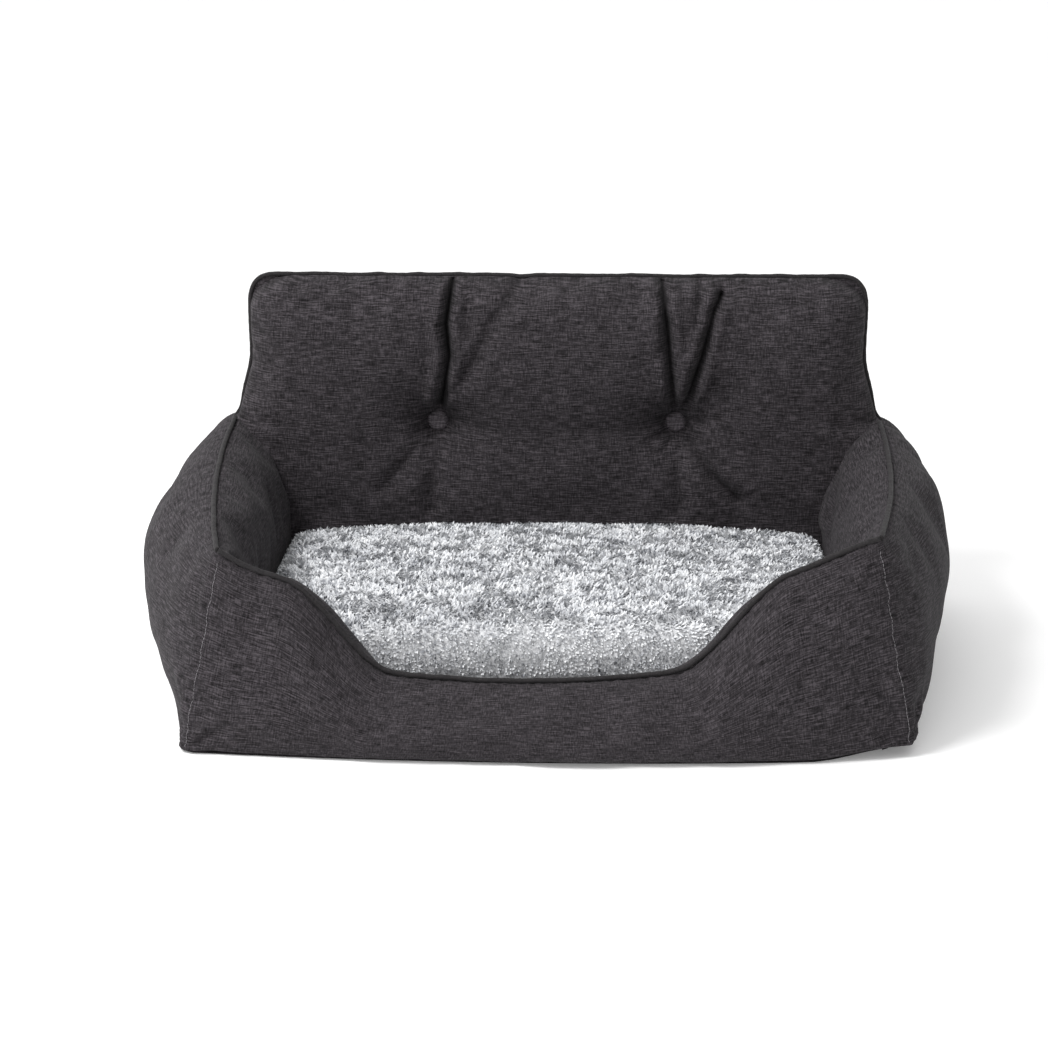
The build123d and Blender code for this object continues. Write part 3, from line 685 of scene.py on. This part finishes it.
def fold_back():
    """Creases from the buttons, gathers along the top seam and small slack, in finer mesh."""
    subdivide(back)
    co = coordinates(back)
    front_side = smooth_step((seam_y - 0.004 - co[:, 1]) / 0.012)
    depth = crease_depth(co[:, 0], co[:, 2])
    half = back_half_width(co[:, 2])
    edge = np.minimum(half - np.abs(co[:, 0]), back_top - co[:, 2])
    beside = np.exp(-(edge / 0.020) ** 2) * (co[:, 2] > tip_z)
    run = np.where(back_top - co[:, 2] < half - np.abs(co[:, 0]), co[:, 0], co[:, 2])
    gathers = np.sin(run / 0.0034 + 2.4 * lattice_noise(co, 0.04, 41))
    long_gathers = np.sin(run / 0.0105 + 3.0 * lattice_noise(co, 0.06, 43))
    co[:, 1] += front_side * (depth + beside * (0.0008 * gathers + 0.0014 * long_gathers))
    no = normals(back)
    seam_line = np.exp(-((co[:, 1] - seam_y) / 0.004) ** 2) * (co[:, 2] > floor_z + 0.01)
    slack = lattice_noise(co, 0.05, 47) * 0.0012 + lattice_noise(co, 0.022, 53) * 0.0005
    inside = np.clip(edge / 0.03, 0, 1)
    co = co + no * (slack * inside * (co[:, 2] > floor_z + 0.01) - 0.0006 * seam_line)[:, None]
    for side in (-1, 1):
        away_x, away_z = co[:, 0] - side * button_x, co[:, 2] - button_z
        away = np.hypot(away_x, away_z)
        angle = np.arctan2(away_z, away_x)
        pleats = np.sin(angle * 9 + 1.6 * lattice_noise(co, 0.05, 59 + side))
        ring = np.exp(-((away - 0.024) / 0.013) ** 2) * front_side
        co[:, 1] += 0.0018 * pleats * ring
        floor_y = button_y - button_sink
        seat_share = 1 - smooth_step((away - button_seat_radius) / 0.005)
        deeper = np.maximum(co[:, 1], floor_y)
        co[:, 1] = mix(co[:, 1], deeper, seat_share * front_side)
    top_notch = np.exp(-((co[:, 0] + 0.042) / 0.009) ** 2) * smooth_step((co[:, 2] - 0.385) / 0.02)
    co[:, 2] = np.maximum(co[:, 2] - 0.0035 * top_notch, floor_z)
    set_coordinates(back, co)
    # Painted shade in the creases: a fold mask from 0 to 1, strongest where the folds are deepest, that
    # darkens the cloth colour towards near black.
    layer = back.data.attributes.new("fold", "FLOAT", "POINT")
    dark = np.clip(crease_depth(co[:, 0], co[:, 2]) / 0.016, 0, 1) ** 1.5 * front_side
    layer.data.foreach_set("value", dark)


fold_back()
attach(back, "surround")
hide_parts("back_front_panel", "back_rear_panel", "back_fill")


def build_base():
    """Flat cloth underneath, a little inside the covers' lower edge."""
    inset = 0.004
    foot = foot_line[::3]
    along = unit(np.gradient(foot, axis=0)[:, :2])
    inward = np.column_stack([-along[:, 1], along[:, 0]])
    ring = foot[:, :2] + inward * (inset + 3 * (foot[:, 2:3] - floor_z))
    rear_x = float(back_half_width(floor_z)) - inset
    rear = np.array([(rear_x, back_y + 0.03), (rear_x, rear_y - 0.02), (rear_x - 0.02, rear_y - inset)])
    outline = np.concatenate([ring, rear, rear[::-1] * np.array([-1, 1])])
    count = len(outline)
    low = np.column_stack([outline, np.zeros(count)])
    high = np.column_stack([outline, np.full(count, floor_z)])
    faces = [tuple(range(count - 1, -1, -1)), tuple(range(count, 2 * count))]
    faces += [(i, (i + 1) % count, count + (i + 1) % count, count + i) for i in range(count)]
    piece = make_mesh("base_cloth", np.concatenate([low, high]), faces, smooth=False)
    outward(piece)
    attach(piece, "surround")
    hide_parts("base_panel")
    return piece


base = build_base()


# ---------------------------------------------------------------- cushion

def cushion_outline(count):
    """Outline of the cushion from above, as points and outward normals, anticlockwise."""
    centre = (np.array(cushion_low[:2]) + np.array(cushion_high[:2])) / 2
    half = (np.array(cushion_high[:2]) - np.array(cushion_low[:2])) / 2
    straight = 2 * (half - cushion_corner)
    arc = cushion_corner * math.pi / 2
    lengths = [straight[0], arc, straight[1], arc] * 2
    ends = np.cumsum(lengths)
    points, outs = [], []
    for s in np.linspace(0, ends[-1], count, endpoint=False):
        leg = int(np.searchsorted(ends, s, side="right"))
        into = s - (ends[leg - 1] if leg else 0)
        turn = leg // 2
        angle = -math.pi / 2 + turn * math.pi / 2
        out = np.array([math.cos(angle), math.sin(angle)])
        along = np.array([-out[1], out[0]])
        long, short = (half if turn % 2 == 0 else half[::-1])
        start = out * short - along * (long - cushion_corner)
        if leg % 2 == 0:
            point, normal = start + along * into, out
        else:
            turned = angle + into / cushion_corner
            normal = np.array([math.cos(turned), math.sin(turned)])
            point = along * (long - cushion_corner) + out * (short - cushion_corner)
            point = point + normal * cushion_corner
        points.append(point + centre)
        outs.append(normal)
    return centre, np.array(points), np.array(outs)


def build_cushion():
    """Closed pad: crowned top, rounded edge, side seam, bottom with its chamfer for the zip."""
    count = 250
    centre, outline, outs = cushion_outline(count)
    corner_reach = np.linalg.norm((np.array(cushion_high[:2]) - centre))
    floor = cushion_low.z
    round_edge = 0.018

    def top_height(p):
        r = np.linalg.norm(p - centre, axis=1)
        crown = cushion_high.z - (cushion_high.z - cushion_edge - 0.002) * (r / corner_reach) ** 2
        flat = np.concatenate([p, np.zeros((len(p), 1))], axis=1)
        soft = lattice_noise(flat, 0.13, 61) * 0.0024 + lattice_noise(flat, 0.06, 67) * 0.0012
        return crown + soft * np.clip((1 - r / corner_reach) * 3, 0, 1)

    rows = []
    edge_ring = outline - outs * round_edge
    for k in np.linspace(0.03, 1, 30):
        p = centre + (edge_ring - centre) * k
        rows.append(np.column_stack([p, top_height(p)]))
    edge_z = rows[-1][:, 2]
    for angle in np.linspace(0, math.pi / 2, 9)[1:]:
        p = outline - outs * (round_edge * (1 - math.sin(angle)))
        rows.append(np.column_stack([p, edge_z - round_edge * (1 - math.cos(angle))]))
    side_top = rows[-1][:, 2]
    for k in np.linspace(0, 1, 8)[1:]:
        bulge = 0.0018 * math.sin(math.pi * k) - 0.0012 * (k == 1)
        rows.append(np.column_stack([outline + outs * bulge, mix(side_top, cushion_seam, k)]))
    seam_row = len(rows) - 1
    low_round = 0.010
    for k in np.linspace(0, 1, 8)[1:]:
        bulge = 0.0018 * math.sin(math.pi * k)
        z = mix(cushion_seam, floor + low_round, k)
        rows.append(np.column_stack([outline + outs * bulge, np.full(count, z)]))
    for angle in np.linspace(0, math.pi / 2, 5)[1:]:
        p = outline - outs * (low_round * (1 - math.cos(angle)))
        rows.append(np.column_stack([p, np.full(count, floor + low_round * (1 - math.sin(angle)))]))
    low_ring = outline - outs * low_round
    for k in np.linspace(1, 0.03, 14)[1:]:
        p = centre + (low_ring - centre) * k
        rows.append(np.column_stack([p, np.full(count, floor)]))
    body = np.array(rows)
    lower = body[seam_row + 1:]
    limit = cushion_high.y - cushion_chamfer + (lower[..., 2] - floor)
    lower[..., 1] = np.minimum(lower[..., 1], limit)
    total = len(rows)
    points = body.reshape(-1, 3)
    weave = points.copy()
    run = np.linspace(0, 2.0, count, endpoint=False)
    side = np.zeros((total, count), bool)
    side[seam_row - 6:seam_row + 12] = True
    weave = weave.reshape(total, count, 3)
    weave[..., 0] = np.where(side, run[None, :], weave[..., 0])
    weave[..., 1] = np.where(side, body[..., 2], weave[..., 1])
    faces = ring_faces(total, count, True) + ring_caps(total, count, True)
    piece = make_mesh("cushion_pad", points, faces, weave.reshape(-1, 3))
    outward(piece)
    return piece, seam_row * count


cushion, top_points = build_cushion()
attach(cushion, "cushion")
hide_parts("cushion_top_panel", "cushion_bottom_panel", "cushion_fill")


def build_pile():
    """Short plush pile: tapered tufts that lean together in clumps, each with its own tone."""
    mesh = cushion.data
    mesh.calc_loop_triangles()
    co, no = coordinates(cushion), normals(cushion)
    corners = np.array([t.vertices for t in mesh.loop_triangles])
    corners = corners[(corners < top_points).all(axis=1)]
    a, b, c = co[corners[:, 0]], co[corners[:, 1]], co[corners[:, 2]]
    area = np.linalg.norm(np.cross(b - a, c - a), axis=1)
    share = np.cumsum(area) / area.sum()
    spread = (np.arange(pile_count) + rng.uniform(0, 1, pile_count)) / pile_count
    pick = np.searchsorted(share, spread)
    u, v = rng.uniform(0, 1, (2, pile_count))
    flip = u + v > 1
    u, v = np.where(flip, 1 - u, u), np.where(flip, 1 - v, v)
    w = 1 - u - v
    root = a[pick] * w[:, None] + b[pick] * u[:, None] + c[pick] * v[:, None]
    up = (no[corners[pick, 0]] * w[:, None] + no[corners[pick, 1]] * u[:, None]
          + no[corners[pick, 2]] * v[:, None])
    up = unit(up)
    turn = math.pi * (1.0 * lattice_noise(root, 0.030, 71) + 1.2 * lattice_noise(root, 0.010, 73))
    turn = turn + rng.normal(0, 0.8, pile_count)
    lean = np.column_stack([np.cos(turn), np.sin(turn), np.full(pile_count, -0.12)])
    lean -= up * (lean * up).sum(axis=1, keepdims=True)
    lean = unit(lean)
    across = np.cross(up, lean)
    topside = np.clip(up[:, 2], 0, 1)
    length = pile_length * rng.uniform(0.7, 1.15, pile_count) * (0.5 + 0.5 * topside)
    tilt = np.radians(np.clip(rng.normal(38, 10, pile_count)
                              + 16 * lattice_noise(root, 0.016, 79), 12, 68))
    width = rng.uniform(0.0009, 0.0015, pile_count)
    bend = tilt + 0.45
    middle = root + (up * np.cos(tilt)[:, None] + lean * np.sin(tilt)[:, None]) * (
        0.55 * length)[:, None]
    tip = middle + (up * np.cos(bend)[:, None] + lean * np.sin(bend)[:, None]) * (
        0.45 * length)[:, None]
    root = root - up * 0.0008
    sideways = across * width[:, None]
    points = np.stack([root - sideways, root + sideways, middle + sideways * 0.9,
                       middle - sideways * 0.9, tip], axis=1).reshape(-1, 3)
    first = np.arange(pile_count) * 5
    faces = [(i, i + 1, i + 2, i + 3) for i in first.tolist()]
    faces += [(i + 3, i + 2, i + 4) for i in first.tolist()]
    piece = make_mesh("fleece_pile", points, faces)
    streaks = root * np.array([1.0, 2.6, 1.6])
    tone = (0.60 + 0.22 * lattice_noise(streaks, 0.045, 83) + 0.20 * lattice_noise(root, 0.007, 89)
            + rng.normal(0, 0.20, pile_count))
    layer = piece.data.attributes.new("tone", "FLOAT", "POINT")
    layer.data.foreach_set("value", np.repeat(np.clip(tone, 0, 1), 5))
    # The tip value runs from 0 at the root to 1 at the tip; it drives painted shade that darkens each
    # tuft towards its root.
    layer = piece.data.attributes.new("tip", "FLOAT", "POINT")
    layer.data.foreach_set("value", np.tile([0.0, 0.0, 0.6, 0.6, 1.0], pile_count))
    return piece


pile = build_pile()
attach(pile, "cushion")


# ---------------------------------------------------------------- piping, buttons, stitches

def seat(path, sink):
    """Path of piping that stands square on a crest."""
    path = np.array(path)
    along = unit(np.gradient(path, axis=0))
    up = unit(np.array([0, 0, 1.0]) - along * along[:, 2:3])
    return path + up * (piping_radius - sink)


def resample(path, step):
    path = np.asarray(path)
    run = np.concatenate([[0], np.cumsum(np.linalg.norm(np.diff(path, axis=0), axis=1))])
    at = np.linspace(0, run[-1], max(4, round(run[-1] / step)))
    return np.column_stack([np.interp(at, run, path[:, k]) for k in range(3)])


def soften(path, passes=6):
    path = np.array(path)
    for _ in range(passes):
        path[1:-1] = 0.5 * path[1:-1] + 0.25 * (path[:-2] + path[2:])
    return path


def scallop(path, size, height, seed):
    """Small rise and fall where the seam is drawn in between its stitches."""
    wave = lattice_noise(path, size, seed) * height
    path = np.array(path)
    path[:, 2] += wave
    path[:, 1] += 0.5 * wave
    return path


def skin_of(piece):
    mesh = piece.data
    return BVHTree.FromPolygons([v.co for v in mesh.vertices],
                                [tuple(p.vertices) for p in mesh.polygons])


def snapped(path, skin):
    return np.array([np.array(skin.find_nearest(Vector(p))[0]) for p in path])


def build_piping():
    cover_skin, back_skin = skin_of(surround), skin_of(back)
    routes = {
        "left_arm_piping": crest_line[1:left_corner + 1],
        "front_rim_piping": crest_line[left_corner:right_corner + 1],
        "right_arm_piping": crest_line[right_corner:-1],
    }
    made = []
    for node, route in routes.items():
        path = soften(resample(soften(resample(route, 0.004)), 0.004))
        path = soften(snapped(path + np.array([0, 0, 0.004]), cover_skin))
        path = resample(soften(seat(path, 0.0004)), piping_step)
        path = scallop(path, 0.012, 0.0005, 97)
        piece = tube(node + "_cord", path, piping_radius, wobble=piping_wobble)
        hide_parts(node)
        made.append(piece)
    heights = np.linspace(tip_z - 0.004, back_top - back_corner, 60)
    side = np.column_stack([back_half_width(heights), np.full(60, seam_y), heights])
    turn = np.linspace(0, math.pi / 2, 16)[1:]
    corner = np.column_stack([
        back_half - back_corner + back_corner * np.cos(turn), np.full(15, seam_y),
        back_top - back_corner + back_corner * np.sin(turn)])
    right = np.concatenate([side, corner])
    left = right[::-1] * np.array([-1, 1, 1])
    top = np.column_stack([np.linspace(back_half - back_corner, -back_half + back_corner, 160),
                           np.full(160, seam_y), np.full(160, back_top)])
    path = soften(resample(np.concatenate([right, top[1:-1], left]), back_piping_step))
    along = unit(np.gradient(path, axis=0))
    out = np.column_stack([along[:, 2], along[:, 1] * 0, -along[:, 0]])
    order = np.arange(len(path))
    from_end = np.minimum(order, order[::-1]) * back_piping_step
    tip_share = 1 - smooth_step(from_end / back_piping_tip)
    sunk = back_piping_sunk + back_piping_tip_sunk * tip_share
    path = soften(snapped(path + out * 0.006, back_skin)) + out * (piping_radius - sunk)[:, None]
    tucked = np.array([0.012, 0.004, 0.016])
    path = np.concatenate([[path[0] - tucked], path, [path[-1] - tucked * np.array([-1, 1, 1])]])
    path = scallop(soften(resample(path, piping_step), 12), 0.016, 0.0008, 101)
    piece = tube("back_piping_cord", path, piping_radius, wobble=piping_wobble)
    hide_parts("back_piping")
    made.append(piece)
    for piece in made:
        outward(piece)
        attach(piece, "surround")
    return made


piping = build_piping()


def build_button(node):
    """Covered button: a low dome whose cloth is gathered round its edge."""
    low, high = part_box(node)
    centre = (low + high) / 2
    radius = (high.x - low.x) / 2
    dome = high.y - low.y + 0.0010
    rings, around = 22, 120
    points, weave = [], []
    for r in range(1, rings + 1):
        k = r / rings
        for c in range(around):
            angle = 2 * math.pi * c / around
            gather = 0.00035 * math.sin(angle * 26 + 2 * math.sin(3 * angle)) * k**6
            reach = radius * (1.0 if k == 1 else math.sin(k * math.pi / 2)) + gather
            rise = dome * (1 - min(reach / radius, 1.0) ** 4) ** 0.55
            points.append((centre.x + reach * math.cos(angle), high.y - rise - gather,
                           centre.z + reach * math.sin(angle)))
            weave.append((reach * math.cos(angle), reach * math.sin(angle), 0.5))
    faces = ring_faces(rings, around)
    faces.append(tuple(range(around)))
    faces.append(tuple((rings - 1) * around + c for c in range(around)))
    piece = make_mesh(node + "_cover", points, faces, weave)
    outward(piece)
    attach(piece, "surround")
    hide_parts(node)
    return piece


buttons = [build_button(node) for node in ("tuft_button_right", "tuft_button_left")]


def build_stitches():
    """Light topstitching down each front corner seam."""
    skin = skin_of(surround)
    points, faces = [], []
    for corner in corner_lines:
        outward_way = np.array([np.sign(corner[0][0]) * 0.7, -0.7, 0.0])
        offset = np.array([-np.sign(corner[0][0]) * 0.006, 0, 0])
        path = resample(corner[1:-2] + offset, stitch_pitch)
        for a, b in zip(path[:-1], path[1:]):
            ends = []
            for k in (0.04, 0.94):
                spot = mix(a, b, k) + outward_way * 0.004
                place, normal, _, _ = skin.find_nearest(Vector(spot))
                ends.append((np.array(place), np.array(normal)))
            direction = ends[1][0] - ends[0][0]
            span = np.linalg.norm(direction)
            if span < 1e-5:
                continue
            direction /= span
            base = len(points)
            for j, rise, thick in ((0, -0.0001, 0.4), (0.25, 0.00035, 1), (0.75, 0.00035, 1),
                                   (1, -0.0001, 0.4)):
                place = mix(ends[0][0], ends[1][0], j)
                normal = mix(ends[0][1], ends[1][1], j)
                side = np.cross(direction, normal)
                for angle in range(6):
                    turn = angle * math.pi / 3
                    points.append(place + normal * (rise + stitch_radius * thick * math.sin(turn))
                                  + side * stitch_radius * thick * math.cos(turn))
            for ring in range(3):
                for k in range(6):
                    p = base + ring * 6 + k
                    q = base + ring * 6 + (k + 1) % 6
                    faces.append((p, q, q + 6, p + 6))
            faces.append(tuple(base + k for k in range(5, -1, -1)))
            faces.append(tuple(base + 18 + k for k in range(6)))
    piece = make_mesh("corner_stitches", points, faces)
    outward(piece)
    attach(piece, "surround")
    return piece


stitches = build_stitches()


# ---------------------------------------------------------------- materials

class Shader:
    """A material's node tree, with short ways to add the nodes used here."""

    def __init__(self, name, roughness=0.9, sheen=0.0, metallic=0.0, specular=0.3):
        self.material = bpy.data.materials.new(name)
        self.material.use_nodes = True
        self.tree = self.material.node_tree
        self.tree.nodes.clear()
        output = self.tree.nodes.new("ShaderNodeOutputMaterial")
        self.surface = self.tree.nodes.new("ShaderNodeBsdfPrincipled")
        self.tree.links.new(self.surface.outputs["BSDF"], output.inputs["Surface"])
        self.surface.inputs["Roughness"].default_value = roughness
        self.surface.inputs["Metallic"].default_value = metallic
        self.surface.inputs["Specular IOR Level"].default_value = specular
        self.surface.inputs["Sheen Weight"].default_value = sheen
        self.surface.inputs["Sheen Roughness"].default_value = 0.5

    def node(self, kind, settings=None, **values):
        made = self.tree.nodes.new(kind)
        for name, value in (settings or {}).items():
            setattr(made, name, value)
        for name, value in values.items():
            key = int(name[1:]) if name[0] == "i" and name[1:].isdigit() else name
            if isinstance(value, bpy.types.NodeSocket):
                self.tree.links.new(value, made.inputs[key])
            else:
                made.inputs[key].default_value = value
        return made

    def attribute(self, name):
        return self.node("ShaderNodeAttribute", {"attribute_name": name})

    def own_coordinates(self):
        return self.node("ShaderNodeTexCoord").outputs["Object"]

    def scaled(self, vector, scale):
        return self.node("ShaderNodeVectorMath", {"operation": "MULTIPLY"}, i0=vector,
                         i1=scale).outputs["Vector"]

    def noise(self, vector, scale, detail, roughness):
        return self.node("ShaderNodeTexNoise", Vector=vector, Scale=scale, Detail=detail,
                         Roughness=roughness).outputs["Fac"]

    def maths(self, operation, first, second):
        return self.node("ShaderNodeMath", {"operation": operation},
                         i0=first, i1=second).outputs["Value"]

    def spread(self, value, low, high):
        """Stretches a noise's middle part over 0 to 1."""
        made = self.node("ShaderNodeMapRange", {"clamp": True})
        self.tree.links.new(value, made.inputs["Value"])
        made.inputs["From Min"].default_value = low
        made.inputs["From Max"].default_value = high
        return made.outputs["Result"]

    def ramp(self, value, *stops):
        made = self.node("ShaderNodeValToRGB", Fac=value)
        elements = made.color_ramp.elements
        while len(elements) < len(stops):
            elements.new(0.5)
        for element, (position, colour) in zip(elements, stops):
            element.position = position
            element.color = (*colour, 1)
        return made.outputs["Color"]

    def mixed(self, first, second, share, blend="MIX"):
        made = self.node("ShaderNodeMix", {"data_type": "RGBA", "blend_type": blend})
        for key, value in ((0, share), (6, first), (7, second)):
            if isinstance(value, bpy.types.NodeSocket):
                self.tree.links.new(value, made.inputs[key])
            else:
                made.inputs[key].default_value = value
        return made.outputs[2]

    def colour(self, value):
        if isinstance(value, bpy.types.NodeSocket):
            self.tree.links.new(value, self.surface.inputs["Base Color"])
        else:
            self.surface.inputs["Base Color"].default_value = (*value, 1)

    def bump(self, height, distance, strength=1.0):
        made = self.node("ShaderNodeBump", Height=height, Strength=strength, Distance=distance)
        self.tree.links.new(made.outputs["Normal"], self.surface.inputs["Normal"])


def tinted(level, tint):
    return tuple(level * t for t in tint)


fabric_tint = (1.06, 0.94, 1.04)


def woven(name, dark, mid, light, use_attribute=True):
    """Marled weave: long soft slubs along the weft, short flecks, a fine thread relief, and painted
    shade darkening the cloth in the creases.
    """
    shader = Shader(name, roughness=0.95, sheen=0.03, specular=0.12)
    place = (shader.attribute("weave").outputs["Vector"] if use_attribute
             else shader.own_coordinates())
    long_slub = shader.noise(shader.scaled(place, (62.0, 690.0, 300.0)), 1.0, 1.0, 0.5)
    short_slub = shader.noise(shader.scaled(place, (360.0, 1000.0, 700.0)), 1.0, 1.0, 0.5)
    warp = shader.noise(shader.scaled(place, (720.0, 95.0, 300.0)), 1.0, 1.0, 0.5)
    blotch = shader.noise(shader.scaled(place, (24.0, 40.0, 24.0)), 1.0, 3.0, 0.6)
    marl = shader.maths("ADD", shader.maths("MULTIPLY", long_slub, 0.46),
                        shader.maths("MULTIPLY", short_slub, 0.24))
    marl = shader.maths("ADD", marl, shader.maths("MULTIPLY", warp, 0.30))
    marl = shader.maths("ADD", marl,
                        shader.maths("MULTIPLY", shader.maths("SUBTRACT", blotch, 0.5), 0.10))
    tone = shader.spread(marl, 0.36, 0.64)
    cloth = shader.ramp(tone, (0.0, tinted(dark, fabric_tint)), (0.5, tinted(mid, fabric_tint)),
                        (1.0, tinted(light, fabric_tint)))
    # Painted shade: the fold mask mixes the cloth towards near black in the creases.
    fold = shader.attribute("fold").outputs["Fac"]
    shader.colour(shader.mixed(cloth, (0.004, 0.0037, 0.004, 1), fold))
    threads = shader.maths("ADD", shader.maths("MULTIPLY", warp, 0.4),
                           shader.maths("MULTIPLY", short_slub, 0.6))
    shader.bump(threads, 0.0009, 0.5)
    return shader.material


def piping_cloth():
    shader = Shader("piping_cloth", roughness=0.85, sheen=0.05, specular=0.2)
    place = shader.attribute("weave").outputs["Vector"]
    ribs = shader.noise(shader.scaled(place, (420.0, 420.0, 1.0)), 1.0, 2.0, 0.6)
    shader.colour(shader.ramp(shader.spread(ribs, 0.3, 0.7), (0.0, (0.010, 0.0092, 0.0098)),
                              (1.0, (0.028, 0.0255, 0.0268))))
    shader.bump(ribs, 0.0006, 0.6)
    return shader.material


def fleece_tufts():
    shader = Shader("fleece_tufts", roughness=0.95, sheen=0.35, specular=0.1)
    tone = shader.attribute("tone").outputs["Fac"]
    tip = shader.attribute("tip").outputs["Fac"]
    tuft_colour = shader.ramp(tone, (0.0, (0.10, 0.106, 0.122)), (0.32, (0.36, 0.37, 0.395)),
                        (0.62, (0.70, 0.712, 0.735)), (1.0, (0.90, 0.908, 0.92)))
    # Painted shade: each tuft's colour is darkened towards its root, as down between the tufts.
    root = shader.ramp(tip, (0.0, (0.60, 0.60, 0.60)), (0.7, (1.0, 1.0, 1.0)))
    shader.colour(shader.mixed(tuft_colour, root, 1.0, "MULTIPLY"))
    return shader.material


def fleece_backing():
    shader = Shader("fleece_backing", roughness=0.95, sheen=0.2, specular=0.1)
    place = shader.own_coordinates()
    fuzz = shader.noise(place, 260.0, 3.0, 0.6)
    shader.colour(shader.ramp(shader.spread(fuzz, 0.35, 0.65), (0.0, (0.34, 0.345, 0.36)),
                              (1.0, (0.72, 0.725, 0.74))))
    shader.bump(fuzz, 0.003, 0.6)
    return shader.material


def plain(name, colour, roughness, metallic=0.0, grain=0.0, grain_size=900.0, specular=0.4):
    shader = Shader(name, roughness=roughness, metallic=metallic, specular=specular)
    if grain:
        speck = shader.noise(shader.own_coordinates(), grain_size, 3.0, 0.6)
        low = tuple(c * (1 - grain) for c in colour)
        high = tuple(c * (1 + grain) for c in colour)
        shader.colour(shader.ramp(shader.spread(speck, 0.3, 0.7), (0.0, low), (1.0, high)))
        shader.bump(speck, 0.0004, 0.4)
    else:
        shader.colour(colour)
    return shader.material


cover_cloth = woven("cover_cloth", 0.005, 0.026, 0.068)
# Painted highlight: the buttons use a lighter copy of the cover weave, standing for the light the
# raised domes catch.
button_cloth = woven("button_cloth", 0.026, 0.070, 0.140)
under_cloth = woven("under_cloth", 0.008, 0.014, 0.026, use_attribute=False)
cord_cloth = piping_cloth()
tuft_cloth = fleece_tufts()
backing_cloth = fleece_backing()
board = plain("board_plastic", (0.055, 0.055, 0.058), 0.55, grain=0.15)
trim = plain("trim_plastic", (0.05, 0.05, 0.052), 0.45, grain=0.1)
twine = plain("tuft_twine", (0.35, 0.33, 0.30), 0.9, grain=0.2)
tape = plain("zip_tape", (0.018, 0.018, 0.019), 0.85, grain=0.3)
coil = plain("zip_coil", (0.030, 0.030, 0.031), 0.42, grain=0.35, grain_size=700.0)
metal = plain("zip_metal", (0.34, 0.34, 0.35), 0.34, metallic=1.0, grain=0.06)
thread = plain("stitch_thread", (0.20, 0.19, 0.20), 0.8)


def dress(piece, *materials):
    piece.data.materials.clear()
    for material in materials:
        piece.data.materials.append(material)


dress(surround, cover_cloth)
dress(back, cover_cloth)
dress(base, under_cloth)
dress(cushion, backing_cloth)
dress(pile, tuft_cloth)
dress(stitches, thread)
for piece in piping:
    dress(piece, cord_cloth)
for piece in buttons:
    dress(piece, button_cloth)
for node, material in {
    "back_board": board, "tuft_button_backs": trim,
    "tuft_cords": twine, "tuft_anchors": trim,
    "rear_zip_tapes": tape, "rear_zip_chain": coil, "rear_zip_stops": metal,
    "rear_zip_slider": metal, "rear_zip_pull": metal,
    "cushion_zip_tapes": tape, "cushion_zip_chain": coil, "cushion_zip_stops": metal,
    "cushion_zip_slider": metal, "cushion_zip_pull": metal,
}.items():
    dress(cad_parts[node], material)


# ---------------------------------------------------------------- studio

def build_floor():
    """Pale floor a hair under the bed, with a faint glow of its own."""
    half = 12.0
    z = -0.0004
    corners = [(-half, -half, z), (half, -half, z), (half, half, z), (-half, half, z)]
    piece = make_mesh("studio_floor", corners, [(0, 1, 2, 3)], smooth=False)
    shader = Shader("studio_white", roughness=0.9, specular=0.1)
    shader.colour((0.90, 0.90, 0.90))
    shader.surface.inputs["Emission Color"].default_value = (1, 1, 1, 1)
    shader.surface.inputs["Emission Strength"].default_value = 0.16
    dress(piece, shader.material)


def area_light(name, place, target, size, power):
    data = bpy.data.lights.new(name, "AREA")
    data.shape = "DISK"
    data.size = size
    data.energy = power
    lamp = bpy.data.objects.new(name, data)
    bpy.context.scene.collection.objects.link(lamp)
    lamp.location = place
    lamp.rotation_euler = (Vector(target) - Vector(place)).to_track_quat("-Z", "Y").to_euler()
    return lamp


build_floor()
middle = (cad_low + cad_high) / 2
area_light("key", (-1.5, -1.2, 2.5), middle, size=1.1, power=70.0)

# World: bright from the bed's left, dimmer from its right
world = bpy.data.worlds.new("studio")
world.use_nodes = True
sky = world.node_tree
direction = sky.nodes.new("ShaderNodeTexCoord")
parts = sky.nodes.new("ShaderNodeSeparateXYZ")
strength = sky.nodes.new("ShaderNodeMapRange")
sky.links.new(direction.outputs["Generated"], parts.inputs["Vector"])
sky.links.new(parts.outputs["X"], strength.inputs["Value"])
for socket, value in (("From Min", 0.15), ("From Max", 0.85), ("To Min", 1.14), ("To Max", 0.18)):
    strength.inputs[socket].default_value = value
background = sky.nodes["Background"]
background.inputs["Color"].default_value = (1, 1, 1, 1)
sky.links.new(strength.outputs["Result"], background.inputs["Strength"])
bpy.context.scene.world = world
bpy.context.scene.view_settings.view_transform = "Standard"

# Camera: nearly square on, a little above
view_azimuth = math.radians(1.76)
view_elevation = math.radians(15.65)
view_target = Vector((-0.03143, 0, 0.17193))
view_distance = 2.9047
toward_camera = Vector((
    math.sin(view_azimuth) * math.cos(view_elevation),
    -math.cos(view_azimuth) * math.cos(view_elevation),
    math.sin(view_elevation),
))
lens = bpy.data.cameras.new("camera")
lens.lens = 89.31
lens.sensor_width = 36
camera = bpy.data.objects.new("camera", lens)
bpy.context.scene.collection.objects.link(camera)
camera.location = view_target + toward_camera * view_distance
camera.rotation_euler = (-toward_camera).to_track_quat("-Z", "Y").to_euler()
bpy.context.scene.camera = camera
